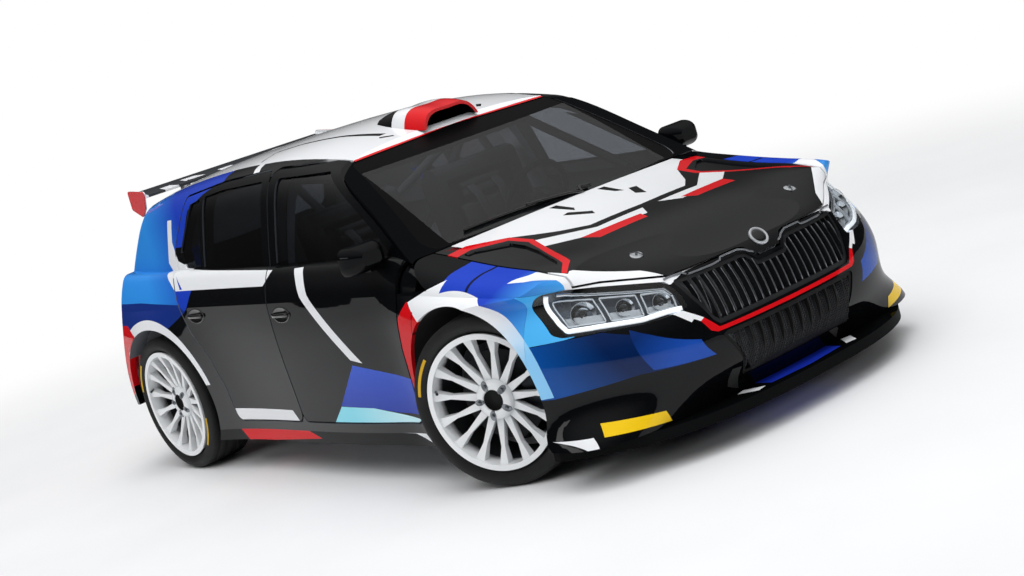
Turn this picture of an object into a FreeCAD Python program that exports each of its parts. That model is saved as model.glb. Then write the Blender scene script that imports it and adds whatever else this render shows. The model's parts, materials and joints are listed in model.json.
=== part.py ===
"""Rally car with five doors, standing on its wheels with the front pair steered to the left.

+X is forwards, +Y is the car's left and +Z is up, in millimetres. The origin is on the ground, at
the middle of the overall length. Panels are cut from two crowned cores, the lower body and the
cabin, and each core can be drawn in by a wall. Places along the cabin are shares of the wheelbase
ahead of the rear axle, heights are shares of the roof's height, and widths are shares of half the
body's width.
"""

import FreeCAD
import Part

import math
import os

# Overall size
WHEELBASE = 2470.0
FRONT_OVERHANG = 855.0
REAR_OVERHANG = 671.0
BODY_WIDTH = 1820.0
ROOF_HEIGHT = 1362.0

# Wheels, tyres and brakes
TYRE_RADIUS = 330.0
TYRE_WIDTH = 235.0
RIM_RADIUS = 262.0
RIM_LIP = 12.0
RIM_WALL = 9.0
TRACK = 1543.0
DISC_RADIUS = 172.0
DISC_WIDTH = 28.0
SPOKE_COUNT = 15
SCRUB = 71.5
STEER_REST_DEG = 22.3
ARCH_CLEARANCE = 50.0

# Walls, gaps and glass
SKIN = 16.0
BONNET_WALL = 26.0
BUMPER_WALL = 34.0
DOOR_WALL = 50.0
DOOR_LIP = 12.0
LIP_SETBACK = 18.0
PILLAR_WALL = 34.0
ROOF_WALL = 24.0
GLASS_SETBACK = 7.0
GLASS_THICKNESS = 5.0
SHUT_GAP = 8.0
PANEL_GAP = 1.0
FLOOR_THICKNESS = 22.0
CORNER_RADIUS = 40.0
RUNNING_GAP = 0.3
CLEARANCE = 6.0
OVERRUN = 60.0

# Tubes and shafts
CAGE_RADIUS = 20.0
ARM_RADIUS = 15.0
SHAFT_RADIUS = 13.0

# Corners: the smallest turn that is rounded and the share of a side that an arc may take; and the
# largest share of a piece's volume that counts as a sliver
STRAIGHT_RAD = 0.02
ROOM_SHARE = 0.45
SLIVER_SHARE = 0.02

# Cutting blocks end this far up, well over the roof
PANEL_TOP_SHARE = 1.1
CUTTER_TOP_SHARE = 1.2

HALF_WIDTH = BODY_WIDTH / 2
HALF_LENGTH = (FRONT_OVERHANG + WHEELBASE + REAR_OVERHANG) / 2
FRONT_AXLE_X = HALF_LENGTH - FRONT_OVERHANG
REAR_AXLE_X = FRONT_AXLE_X - WHEELBASE
AXLE_Z = TYRE_RADIUS
ARCH_RADIUS = TYRE_RADIUS + ARCH_CLEARANCE
KINGPIN_Y = TRACK / 2 - SCRUB

UP = FreeCAD.Vector(0, 0, 1)
ACROSS = FreeCAD.Vector(0, 1, 0)
ALONG = FreeCAD.Vector(1, 0, 0)
CENTRE = FreeCAD.Vector(0, 0, 0)


def vec(x, y, z):
    """A point or direction."""
    return FreeCAD.Vector(x, y, z)


def along(share):
    """A place along the cabin, from the rear axle at 0 to the front axle at 1."""
    return REAR_AXLE_X + share * WHEELBASE


def ahead(share):
    """A place ahead of the front axle, as a share of the front overhang."""
    return FRONT_AXLE_X + share * FRONT_OVERHANG


def behind(share):
    """A place behind the rear axle, as a share of the rear overhang."""
    return REAR_AXLE_X - share * REAR_OVERHANG


def up(share):
    """A height as a share of the roof's height."""
    return share * ROOF_HEIGHT


def out(share):
    """A distance from the middle plane, as a share of half the body's width."""
    return share * HALF_WIDTH


def spline(points):
    """A smooth edge through points."""
    curve = Part.BSplineCurve()
    curve.interpolate(points)
    return curve.toShape()


def line(a, b):
    """A straight edge."""
    return Part.LineSegment(a, b).toShape()


def mirrored(shape):
    """The same shape on the other side of the car."""
    return shape.mirror(CENTRE, ACROSS)


def both_sides(shape):
    """A shape and its mirror image, as solids that stay apart."""
    return Part.makeCompound([shape, mirrored(shape)])


def fused(shapes):
    """One solid from several that meet."""
    first, *rest = shapes
    return first.fuse(rest).removeSplitter() if rest else first


def solids_of(shape):
    """A compound of the solids of a shape, leaving out slivers."""
    largest = max(s.Volume for s in shape.Solids)
    kept = [s for s in shape.Solids if s.Volume > largest * SLIVER_SHARE]
    return kept[0] if len(kept) == 1 else Part.makeCompound(kept)


def rounded(points, radius):
    """A closed wire through corner points, each corner rounded by an arc where there is room."""
    corners = []
    count = len(points)
    for i, corner in enumerate(points):
        back = points[i - 1] - corner
        onward = points[(i + 1) % count] - corner
        turn = math.pi - back.getAngle(onward)
        if turn < STRAIGHT_RAD:
            corners.append((corner, None, corner))
            continue
        reach = min(radius * math.tan(turn / 2), back.Length * ROOM_SHARE, onward.Length * ROOM_SHARE)
        bow = reach / math.tan(turn / 2)
        back.normalize()
        onward.normalize()
        inward = (back + onward).normalize()
        middle = corner + inward * (bow / math.cos(turn / 2) - bow)
        corners.append((corner + back * reach, middle, corner + onward * reach))
    edges = []
    for i, (start, middle, end) in enumerate(corners):
        if middle:
            edges.append(Part.Arc(start, middle, end).toShape())
        edges.append(line(end, corners[(i + 1) % count][0]))
    return Part.Wire(edges)


def side_face(shares, radius, grow=0.0):
    """A face in side view from shares along the cabin and up, grown or shrunk."""
    face = Part.Face(rounded([vec(along(x), 0, up(z)) for x, z in shares], radius))
    if grow:
        face = face.makeOffset2D(grow)
    return face


def right_prism(face):
    """A side-view face swept across the whole right half of the car."""
    slab = face.copy()
    slab.translate(vec(0, -HALF_WIDTH - OVERRUN, 0))
    return slab.extrude(vec(0, HALF_WIDTH, 0))


def front_face(points, x, radius):
    """A face in front view, at x, from points across and up."""
    return Part.Face(rounded([vec(x, y, z) for y, z in points], radius))


def plan_face(points, z, radius):
    """A face seen from above, at z, from points along and across."""
    return Part.Face(rounded([vec(x, y, z) for x, y in points], radius))


def block(x0, x1, y0, y1, z0, z1):
    """A box between two corners."""
    return Part.makeBox(x1 - x0, y1 - y0, z1 - z0, vec(x0, y0, z0))


def tube(points, radius):
    """Round bar through points, with a ball at each bend."""
    pieces = []
    for a, b in zip(points, points[1:]):
        way = b - a
        pieces.append(Part.makeCylinder(radius, way.Length, a, way))
    for p in points[1:-1]:
        pieces.append(Part.makeSphere(radius, p))
    return fused(pieces)


# Lower body: each station's place, then the half widths at sill, waist, hip, crease and shoulder,
# then the heights of crease and shoulder and the crown's rise to the middle, then where the two
# points between crease and shoulder lie, across and up.
UNDERSIDE_SHARE = 0.110
SILL_MID_SHARE = 0.250
WAIST_SHARE = 0.415
HIP_SHARE = 0.511
DOOR_SHOULDER_SHARES = (0.20, 0.33, 0.55, 0.70)
PILLAR_SHOULDER_SHARES = (0.18, 0.42, 0.52, 0.80)
WING_SHOULDER_SHARES = (0.16, 0.52, 0.48, 0.86)
CROWN_SHARES = ((0.93, 0.18), (0.60, 0.66), (0.30, 0.92))
BODY_STATION_SHARES = (
    (behind(1.10), 0.900, 0.895, 0.880, 0.856, 0.770, 0.589, 0.705, 0.020, DOOR_SHOULDER_SHARES),
    (REAR_AXLE_X - 1.20 * ARCH_RADIUS, 0.965, 0.966, 0.950, 0.921, 0.835, 0.588, 0.702, 0.020,
     DOOR_SHOULDER_SHARES),
    (REAR_AXLE_X - 0.50 * ARCH_RADIUS, 0.994, 0.996, 0.984, 0.943, 0.862, 0.586, 0.698, 0.020,
     DOOR_SHOULDER_SHARES),
    (REAR_AXLE_X, 0.998, 1.000, 0.990, 0.947, 0.868, 0.584, 0.694, 0.020, DOOR_SHOULDER_SHARES),
    (REAR_AXLE_X + 0.75 * ARCH_RADIUS, 0.967, 0.972, 0.960, 0.943, 0.874, 0.581, 0.691, 0.020,
     DOOR_SHOULDER_SHARES),
    (REAR_AXLE_X + 1.30 * ARCH_RADIUS, 0.941, 0.948, 0.946, 0.940, 0.876, 0.578, 0.687, 0.020,
     DOOR_SHOULDER_SHARES),
    (along(0.460), 0.945, 0.954, 0.952, 0.946, 0.879, 0.569, 0.670, 0.020, DOOR_SHOULDER_SHARES),
    (along(0.740), 0.947, 0.956, 0.954, 0.947, 0.877, 0.562, 0.655, 0.020, DOOR_SHOULDER_SHARES),
    (along(0.822), 0.945, 0.954, 0.951, 0.942, 0.868, 0.558, 0.649, 0.020, DOOR_SHOULDER_SHARES),
    (FRONT_AXLE_X - 0.75 * ARCH_RADIUS, 0.971, 0.976, 0.968, 0.942, 0.830, 0.554, 0.632, 0.022,
     PILLAR_SHOULDER_SHARES),
    (FRONT_AXLE_X, 0.998, 1.000, 0.988, 0.943, 0.789, 0.540, 0.590, 0.026, WING_SHOULDER_SHARES),
    (ahead(0.28), 0.994, 0.994, 0.978, 0.932, 0.765, 0.525, 0.563, 0.026, WING_SHOULDER_SHARES),
    (ahead(0.61), 0.973, 0.967, 0.948, 0.904, 0.725, 0.500, 0.523, 0.022, WING_SHOULDER_SHARES),
    (ahead(1.08), 0.934, 0.923, 0.901, 0.857, 0.660, 0.455, 0.466, 0.014, WING_SHOULDER_SHARES),
)


def body_section(station, inset):
    """The closed section of the lower body at one station, drawn in by inset on each side."""
    x, sill, waist, hip, crease, belt, crease_share, belt_share, crown, shoulder = station
    knee = up(crease_share)
    top = up(belt_share) - inset
    out_y = out(crease) - inset
    in_y = out(belt) - inset
    a1, b1, a2, b2 = shoulder
    flank = [
        vec(x, out(sill) - inset, up(UNDERSIDE_SHARE)),
        vec(x, out(sill) - inset, up(SILL_MID_SHARE)),
        vec(x, out(waist) - inset, up(WAIST_SHARE)),
        vec(x, out(hip) - inset, up(HIP_SHARE)),
        vec(x, out_y, knee),
    ]
    turn = [
        vec(x, out_y, knee),
        vec(x, out_y + (in_y - out_y) * a1, knee + (top - knee) * b1),
        vec(x, out_y + (in_y - out_y) * a2, knee + (top - knee) * b2),
        vec(x, in_y, top),
    ]
    rise = [vec(x, in_y * y, top + up(crown) * z) for y, z in CROWN_SHARES]
    middle = vec(x, 0, top + up(crown))

    def flipped(points):
        return [vec(p.x, -p.y, p.z) for p in reversed(points)]

    over = turn + rise + [middle] + flipped(rise) + flipped(turn)
    edges = [
        line(flipped(flank)[-1], flank[0]),
        spline(flank),
        spline(over),
        spline(flipped(flank)),
    ]
    return Part.Wire(edges)


def lower_core(inset):
    """The whole lower body as one solid, before its ends are rounded."""
    return Part.makeLoft([body_section(s, inset) for s in BODY_STATION_SHARES], True, False)


# The nose seen from above, at each height: how far its middle lies behind the front end, as a share
# of the front overhang, and how far the curve falls back towards the sides
NOSE_Y_SHARES = (0.0, 0.42, 0.70, 0.87, 0.95, 1.03)
NOSE_LEVEL_SHARES = (
    (0.020, 0.062, (0.0, 0.032, 0.15, 0.34, 0.50, 0.75)),
    (0.200, 0.050, (0.0, 0.032, 0.15, 0.34, 0.50, 0.75)),
    (0.300, 0.042, (0.0, 0.032, 0.16, 0.34, 0.50, 0.75)),
    (0.385, 0.070, (0.0, 0.040, 0.18, 0.36, 0.52, 0.77)),
    (0.445, 0.112, (0.0, 0.054, 0.21, 0.40, 0.55, 0.80)),
    (0.480, 0.155, (0.0, 0.064, 0.22, 0.41, 0.56, 0.82)),
    (0.600, 0.400, (0.0, 0.077, 0.24, 0.44, 0.60, 0.86)),
    (0.720, 0.800, (0.0, 0.077, 0.24, 0.44, 0.60, 0.86)),
)


def bow_wire(points, back_x):
    """A closed level wire from a half bow of points, mirrored and joined to a straight back."""
    right = [vec(p.x, -p.y, p.z) for p in points]
    bow = right[::-1] + points[1:]
    back_l = vec(back_x, bow[-1].y, bow[0].z)
    back_r = vec(back_x, bow[0].y, bow[0].z)
    return Part.Wire([spline(bow), line(bow[-1], back_l), line(back_l, back_r), line(back_r, bow[0])])


def nose_core(inset):
    """Everything behind the nose's surface."""
    wires = []
    for z_share, back, drops in NOSE_LEVEL_SHARES:
        centre = ahead(1 - back) - inset
        bow = [
            vec(centre - d * FRONT_OVERHANG, out(y), up(z_share))
            for y, d in zip(NOSE_Y_SHARES, drops)
        ]
        wires.append(bow_wire(bow, 0))
    return Part.makeLoft(wires, True, False)


# The tail seen from above, at each height
TAIL_Y_SHARES = (0.0, 0.42, 0.70, 0.86, 0.96, 1.04)
TAIL_LEVEL_SHARES = (
    (0.050, 0.10, (0.0, 0.018, 0.076, 0.19, 0.36, 0.63)),
    (0.190, 0.04, (0.0, 0.018, 0.076, 0.19, 0.36, 0.63)),
    (0.320, 0.004, (0.0, 0.018, 0.076, 0.19, 0.36, 0.63)),
    (0.425, 0.05, (0.0, 0.020, 0.085, 0.21, 0.38, 0.65)),
    (0.550, 0.14, (0.0, 0.022, 0.098, 0.23, 0.42, 0.67)),
    (0.685, 0.25, (0.0, 0.027, 0.120, 0.27, 0.47, 0.72)),
    (0.795, 0.40, (0.0, 0.027, 0.120, 0.28, 0.49, 0.76)),
    (0.900, 0.56, (0.0, 0.027, 0.120, 0.28, 0.49, 0.76)),
    (1.050, 0.78, (0.0, 0.027, 0.120, 0.28, 0.49, 0.76)),
)


def tail_core(inset):
    """Everything ahead of the tail's surface."""
    wires = []
    for z_share, forward, drops in TAIL_LEVEL_SHARES:
        centre = behind(1 - forward) + inset
        bow = [
            vec(centre + d * REAR_OVERHANG, out(y), up(z_share))
            for y, d in zip(TAIL_Y_SHARES, drops)
        ]
        wires.append(bow_wire(bow, HALF_LENGTH))
    return Part.makeLoft(wires, True, False)


# The cabin: half widths and heights from the waist over half the roof, then each station's place
# and the scales of its width and height
CABIN_FOLD_SHARES = (
    (0.892, 0.585), (0.872, 0.664), (0.838, 0.748), (0.794, 0.842), (0.748, 0.916),
    (0.700, 0.953), (0.600, 0.976), (0.400, 0.992), (0.0, 1.0),
)
CABIN_STATION_SHARES = (
    (1.040, 0.90, 0.880),
    (0.800, 0.960, 0.905),
    (0.640, 0.975, 0.943),
    (0.520, 0.990, 0.980),
    (0.400, 1.0, 1.0),
    (0.260, 1.0, 0.999),
    (0.120, 0.980, 0.986),
    (0.000, 0.950, 0.966),
    (-0.120, 0.910, 0.935),
    (-0.240, 0.860, 0.890),
)
CABIN_FLOOR_SHARE = 0.565


def cabin_core(inset):
    """The barrel of the cabin, before screen and tail close it."""
    wires = []
    low_share = CABIN_FOLD_SHARES[0][1]
    for place, wide, high in CABIN_STATION_SHARES:
        x = along(place)
        half = []
        for y, z in CABIN_FOLD_SHARES:
            rise = (z - low_share) / (1 - low_share)
            height = up(low_share) + rise * (up(high - low_share) - inset)
            width = out(y * wide) - inset * min(1.0, 2 * y)
            half.append(vec(x, width, height))
        right = [vec(p.x, -p.y, p.z) for p in half]
        hoop = right + half[-2::-1]
        foot_r = vec(x, hoop[0].y, up(CABIN_FLOOR_SHARE))
        foot_l = vec(x, hoop[-1].y, up(CABIN_FLOOR_SHARE))
        foot = [line(hoop[-1], foot_l), line(foot_l, foot_r), line(foot_r, hoop[0])]
        wires.append(Part.Wire([spline(hoop)] + foot))
    return Part.makeLoft(wires, True, False)


# The windscreen: at each height, its middle's place and how far it bows back at the reference width
SCREEN_BOW_SHARE = 0.78
SCREEN_STEPS = 3
SCREEN_LEVEL_SHARES = (
    (0.560, 1.000, 0.040),
    (0.640, 0.914, 0.034),
    (0.790, 0.785, 0.031),
    (0.930, 0.650, 0.026),
    (1.030, 0.540, 0.020),
)


def screen_core(inset):
    """Everything behind the windscreen's surface."""
    wires = []
    for z_share, place, bow_share in SCREEN_LEVEL_SHARES:
        bow = [
            vec(along(place - bow_share * (k / SCREEN_STEPS) ** 2) - inset,
                out(k / SCREEN_STEPS * SCREEN_BOW_SHARE), up(z_share))
            for k in range(SCREEN_STEPS + 2)
        ]
        wires.append(bow_wire(bow, -HALF_LENGTH - OVERRUN))
    return Part.makeLoft(wires, True, False)


CORES = {}


def core(maker, inset):
    """One core at one inset, made once."""
    key = (maker.__name__, inset)
    if key not in CORES:
        CORES[key] = maker(inset)
    return CORES[key]


def front_core(inset):
    """The lower body with its rounded nose."""
    return core(lower_core, inset).common(core(nose_core, inset))


def rear_core(inset):
    """The lower body with its rounded tail."""
    return core(lower_core, inset).common(core(tail_core, inset))


SPLIT_SHARE = 0.30


def rear_hollow(inset):
    """The rear part of the lower body with its rounded tail."""
    rear = block(-HALF_LENGTH - OVERRUN, along(SPLIT_SHARE), -HALF_WIDTH, HALF_WIDTH, 0, ROOF_HEIGHT)
    return core(lower_core, inset).common(rear).common(core(tail_core, inset))


def fore_hollow(inset):
    """The lower body ahead of its tail."""
    fore = block(along(SPLIT_SHARE) - OVERRUN, HALF_LENGTH + OVERRUN, -HALF_WIDTH, HALF_WIDTH, 0, ROOF_HEIGHT)
    return core(lower_core, inset).common(fore)


def cab_core(inset):
    """The cabin closed by windscreen and tail."""
    return core(cabin_core, inset).common(core(screen_core, inset)).common(core(tail_core, inset))


def shell(region, near, far, makers, hollows=None):
    """What lies between two insets of the cores inside a region, all in one piece."""
    whole = fused([region.common(core(maker, near)) for maker in makers])
    for maker in hollows or makers:
        whole = whole.cut(core(maker, far))
    return whole


SIDES = (lower_core, cabin_core)
NOSE = (front_core,)
TAIL = (rear_core, cab_core)
HOLLOWS = (fore_hollow, rear_hollow, cab_core)

# Doors and windows in side view
FRONT_DOOR_SHARES = (
    (0.8287, 0.180), (0.8429, 0.404), (0.8611, 0.528), (0.8611, 0.641), (0.6330, 0.930), (0.4630, 0.951),
    (0.4630, 0.180),
)
REAR_DOOR_SHARES = (
    (0.4600, 0.180), (0.4600, 0.951), (0.3000, 0.948), (0.1400, 0.925), (0.0880, 0.758), (0.1100, 0.680),
    (0.1324, 0.585), (0.1550, 0.500), (0.1930, 0.400), (0.2134, 0.300), (0.2200, 0.180),
)
FRONT_WINDOW_SHARES = ((0.8250, 0.656), (0.6270, 0.912), (0.4830, 0.927), (0.4830, 0.668))
REAR_WINDOW_SHARES = ((0.4390, 0.675), (0.4390, 0.928), (0.3000, 0.928), (0.2180, 0.918), (0.2180, 0.690))
QUARTER_WINDOW_SHARES = ((0.2050, 0.692), (0.2050, 0.915), (0.1600, 0.902), (0.1150, 0.755), (0.1350, 0.700))
WINDOW_RADIUS = 16.0
JAMB_WIDTH = 45.0
SEAL_OUTER = 22.0
SEAL_INNER = 38.0
SEAL_TOP_SHARE = 0.560
SILL_Z = 200.0


def door(outline, windows):
    """A door of the right side: a thin outer panel with a deeper inner panel inside its rim."""
    outer = shell(right_prism(side_face(outline, CORNER_RADIUS)), 0, DOOR_LIP, SIDES)
    inner_face = side_face(outline, CORNER_RADIUS, -LIP_SETBACK)
    inner = shell(right_prism(inner_face), DOOR_LIP, DOOR_WALL, SIDES)
    openings = [right_prism(side_face(w, WINDOW_RADIUS)) for w in windows]
    panel = outer.fuse(inner).cut(openings)
    ring = right_prism(side_face(outline, CORNER_RADIUS, -SEAL_OUTER))
    ring = ring.cut(right_prism(side_face(outline, CORNER_RADIUS, -SEAL_INNER)))
    ring = ring.common(block(-HALF_LENGTH, HALF_LENGTH, -HALF_WIDTH, 0, 0, up(SEAL_TOP_SHARE)))
    seal = shell(ring, DOOR_WALL, DOOR_WALL + CLEARANCE - RUNNING_GAP, (lower_core,))
    return solids_of(panel.cut(roof_plan(SHUT_GAP)).fuse(seal))


def glass(windows):
    """The panes of one door of the right side."""
    panes = []
    for window in windows:
        prism = right_prism(side_face(window, WINDOW_RADIUS))
        sheet = prism.common(core(cabin_core, GLASS_SETBACK))
        panes.append(solids_of(sheet.cut(core(cabin_core, GLASS_SETBACK + GLASS_THICKNESS))))
    return panes[0] if len(panes) == 1 else Part.makeCompound(panes)


# Bonnet, lamps and grilles: plan of the bonnet, and the front view of what lies below it
BONNET_PLAN_SHARES = ((0.800, 0.745), (1.000, 0.742), (1.160, 0.748), (1.500, 0.700), (1.500, 0.0))
BONNET_EDGE_SHARES = (
    (0.0, 0.432), (0.067, 0.432), (0.105, 0.460), (0.137, 0.465), (0.455, 0.463), (0.66, 0.498),
    (0.88, 0.518),
    (1.06, 0.545),
)
VENT_SHARES = (
    (0.946, 0.720), (0.951, 0.670), (0.989, 0.550), (1.023, 0.550), (1.066, 0.580),
    (1.144, 0.670), (1.157, 0.703),
    (1.104, 0.720),
)
VENT_DEPTH = 8.0
LAMP_SHARES = (
    (0.860, 0.508), (0.778, 0.502), (0.672, 0.485), (0.482, 0.450), (0.466, 0.410),
    (0.470, 0.374), (0.635, 0.372),
    (0.772, 0.385), (0.862, 0.392), (0.880, 0.405),
)
UPPER_GRILLE_SHARES = (
    (0.0, 0.416), (0.073, 0.416), (0.110, 0.445), (0.140, 0.450), (0.462, 0.448), (0.440, 0.395),
    (0.398, 0.325),
    (0.375, 0.309), (0.0, 0.309),
)
LOWER_GRILLE_SHARES = (
    (0.0, 0.286), (0.360, 0.288), (0.385, 0.282), (0.320, 0.205), (0.300, 0.152), (0.0, 0.152),
)
LAMP_DEPTH = 60.0
LAMP_RADIUS = 18.0
GRILLE_RADIUS = 12.0
GRILLE_FRAME = 16.0
GRILLE_SETBACK = 6.0
SLAT_WIDTH = 7.0
SLAT_COUNT = 22
BAR_COUNT = 12
WING_FRONT_SHARE = 0.42
BUMPER_BOTTOM = 148.0
SPLITTER_BOTTOM = 108.0
SPLITTER_SWEEP_SHARE = 1.10
SPLITTER_BACK_SHARE = 0.92
NOSE_BACK_SHARE = 0.9
WING_TOP_SHARE = 0.70
CREST_FOOT_SHARE = 0.40


def front_prism(points, x0, x1, radius):
    """A front-view outline swept along the car between two places."""
    face = front_face(points, x0, radius)
    return face.extrude(vec(x1 - x0, 0, 0))


def closed_outline(shares):
    """A whole front-view outline from half of one that starts and ends on the middle plane."""
    half = [(out(y), up(z)) for y, z in shares]
    right = [(-y, z) for y, z in half]
    return half + right[-2:0:-1]


def below_bonnet(drop):
    """Everything ahead of the cabin that lies below the bonnet's front edge, lowered by drop."""
    half = [(out(y), up(z) - drop) for y, z in BONNET_EDGE_SHARES]
    foot = [(half[-1][0], 0)]
    points = half + foot
    right = [(-y, z) for y, z in points]
    outline = points + right[:0:-1]
    wire = Part.makePolygon([vec(along(NOSE_BACK_SHARE), y, z) for y, z in outline + outline[:1]])
    return Part.Face(wire).extrude(vec(HALF_LENGTH, 0, 0))


def bonnet_plan(grow):
    """The bonnet's outline from above, swept up through the car."""
    half = [(along(x), out(y) + grow) for x, y in BONNET_PLAN_SHARES[:-1]]
    outline = half + [(x, -y) for x, y in reversed(half)]
    wire = Part.makePolygon([vec(x, y, 0) for x, y in outline + outline[:1]])
    return Part.Face(wire).extrude(vec(0, 0, ROOF_HEIGHT))


def bonnet():
    """The bonnet, from the foot of the windscreen to the top of the grille."""
    region = bonnet_plan(0).cut(below_bonnet(0)).cut(core(screen_core, -SHUT_GAP))
    low = block(along(BONNET_PLAN_SHARES[0][0]), HALF_LENGTH, -HALF_WIDTH, HALF_WIDTH, 0,
                up(BONNET_EDGE_SHARES[0][1]))
    panel = shell(region.cut(low), 0, BONNET_WALL, NOSE)
    vent = plan_face([(along(x), -out(y)) for x, y in VENT_SHARES], 0, LAMP_RADIUS)
    vent = vent.extrude(vec(0, 0, ROOF_HEIGHT)).cut(core(front_core, VENT_DEPTH))
    return solids_of(panel.cut([vent, mirrored(vent)]))


def wheel_arch(x, radius, inner_y):
    """The round space of a right wheel, out past the body's side."""
    return Part.makeCylinder(radius, HALF_WIDTH + OVERRUN - inner_y, vec(x, -inner_y, AXLE_Z), vec(0, -1, 0))


LINER_Y = 440.0
TUB_Y = 612.0
TUB_WALL = 10.0


def lamp_prism(grow):
    """The right headlamp's outline swept along the car."""
    face = front_face([(-out(y), up(z)) for y, z in LAMP_SHARES], along(1.0), LAMP_RADIUS)
    if grow:
        face = face.makeOffset2D(grow)
    return face.extrude(vec(HALF_LENGTH, 0, 0))


def wing_region():
    """The right front wing's part of the car in side view."""
    edge = [(along(x) + SHUT_GAP, up(z)) for x, z in FRONT_DOOR_SHARES[:4]]
    front_x = ahead(WING_FRONT_SHARE)
    points = [(edge[0][0], SILL_Z + PANEL_GAP)] + edge[1:]
    top = up(WING_TOP_SHARE)
    points += [(points[-1][0], top), (front_x, top), (front_x, SILL_Z + PANEL_GAP)]
    wire = Part.makePolygon([vec(x, 0, z) for x, z in points + points[:1]])
    return right_prism(Part.Face(wire))


def front_wing():
    """The right front wing, open to the wheel."""
    crest = block(ahead(WING_FRONT_SHARE) - CORNER_RADIUS, ahead(RADIATOR_SHARE), -HALF_WIDTH, 0,
                  up(CREST_FOOT_SHARE), up(WING_TOP_SHARE))
    crest = crest.cut(below_bonnet(SHUT_GAP - PANEL_GAP))
    region = wing_region().fuse(crest)
    arch = wheel_arch(FRONT_AXLE_X, ARCH_RADIUS, 0)
    region = region.cut([arch, bonnet_plan(SHUT_GAP), lamp_prism(PANEL_GAP)])
    region = region.cut(core(screen_core, -SHUT_GAP))
    return solids_of(shell(region, 0, SKIN, NOSE))


def front_bumper():
    """The front bumper with the openings for grilles and lamps."""
    region = block(ahead(WING_FRONT_SHARE) + PANEL_GAP, HALF_LENGTH, -HALF_WIDTH, HALF_WIDTH,
                   BUMPER_BOTTOM, up(WING_TOP_SHARE))
    region = region.common(below_bonnet(SHUT_GAP))
    arch = wheel_arch(FRONT_AXLE_X, ARCH_RADIUS, 0)
    openings = [arch, mirrored(arch), lamp_prism(PANEL_GAP), mirrored(lamp_prism(PANEL_GAP))]
    for shares in (UPPER_GRILLE_SHARES, LOWER_GRILLE_SHARES):
        openings.append(front_prism(closed_outline(shares), along(1), HALF_LENGTH, GRILLE_RADIUS))
    return solids_of(shell(region, 0, BUMPER_WALL, NOSE).cut(openings))


def headlamp():
    """The right headlamp, a deep lens that fills its opening."""
    grille_face = front_face(closed_outline(UPPER_GRILLE_SHARES), along(1), GRILLE_RADIUS)
    grille_room = grille_face.makeOffset2D(PANEL_GAP).extrude(vec(HALF_LENGTH, 0, 0))
    bonnet_room = bonnet_plan(PANEL_GAP).cut(below_bonnet(SHUT_GAP - PANEL_GAP))
    wheel_room = wheel_arch(FRONT_AXLE_X, ARCH_RADIUS + CLEARANCE, 0)
    region = lamp_prism(0).cut([bonnet_room, grille_room, wheel_room])
    return solids_of(shell(region, 0, LAMP_DEPTH, NOSE))


def grille(shares, count):
    """A grille: a frame that fills its opening, crossed by upright slats."""
    face = front_face(closed_outline(shares), along(1), GRILLE_RADIUS)
    hole = face.makeOffset2D(-GRILLE_FRAME)
    frame = face.extrude(vec(HALF_LENGTH, 0, 0)).cut(hole.extrude(vec(HALF_LENGTH, 0, 0)))
    window = hole.extrude(vec(HALF_LENGTH, 0, 0))
    box = hole.BoundBox
    bars = []
    for i in range(count):
        share = (i + 1) / (count + 1)
        y = box.YMin + share * box.YLength
        bars.append(block(along(1), HALF_LENGTH, y - SLAT_WIDTH / 2, y + SLAT_WIDTH / 2, box.ZMin, box.ZMax))
    bars = Part.makeCompound(bars).common(window)
    return solids_of(shell(frame.fuse(bars), GRILLE_SETBACK, BUMPER_WALL, NOSE))


def splitter():
    """The flat splitter below the bumper, between the front wheels."""
    bow = []
    for y, d in zip(NOSE_Y_SHARES[:-1], NOSE_LEVEL_SHARES[1][2]):
        bow.append(vec(HALF_LENGTH - d * FRONT_OVERHANG * SPLITTER_SWEEP_SHARE, out(y), SPLITTER_BOTTOM))
    face = Part.Face(bow_wire(bow, FRONT_AXLE_X))
    plate = face.extrude(vec(0, 0, BUMPER_BOTTOM - SPLITTER_BOTTOM))
    arch = wheel_arch(FRONT_AXLE_X, ARCH_RADIUS, 0)
    back = block(0, FRONT_AXLE_X + ARCH_RADIUS * SPLITTER_BACK_SHARE, -HALF_WIDTH, HALF_WIDTH, 0,
                 BUMPER_BOTTOM + OVERRUN)
    return solids_of(plate.cut([arch, mirrored(arch), back]))


# The tail: gate, its window and the lamps in rear view
GATE_SHARES = ((0.0, 1.05), (0.590, 1.05), (0.640, 0.800), (0.665, 0.680), (0.640, 0.430), (0.0, 0.425))
GATE_WINDOW_SHARES = ((0.0, 0.905), (0.520, 0.890), (0.575, 0.700), (0.0, 0.690))
TAIL_LAMP_SHARES = ((0.685, 0.650), (0.960, 0.640), (0.960, 0.520), (0.685, 0.530))
GATE_HINGE_SHARE = 0.27
GATE_WALL = 40.0
TAIL_LAMP_DEPTH = 36.0
TAIL_LAMP_REACH_SHARE = 0.62
STRIP_INNER_SHARE = 0.5
ROOF_FRONT_SHARE = 0.9
ROOF_FOOT_SHARE = 0.80
ROOF_PLAN_LEVEL_SHARE = 0.75
SCREEN_BACK_SHARE = 0.52
REAR_BUMPER_TOP_SHARE = 0.425
REAR_BUMPER_FRONT_SHARE = 0.42
REAR_BUMPER_BOTTOM = 330.0
ROOF_PLAN_SHARES = (
    (0.900, 0.560), (0.620, 0.570), (0.400, 0.625), (0.150, 0.615), (-0.100, 0.585), (-0.340, 0.560),
)
SCREEN_SHARES = ((0.0, 0.930), (0.597, 0.917), (0.762, 0.640), (0.0, 0.640))


def gate_prism(shares, grow, x0):
    """A rear-view outline swept back from x0."""
    face = front_face(closed_outline(shares), -HALF_LENGTH - OVERRUN, CORNER_RADIUS)
    if grow:
        face = face.makeOffset2D(grow)
    return face.extrude(vec(x0 + HALF_LENGTH + OVERRUN, 0, 0))


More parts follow.
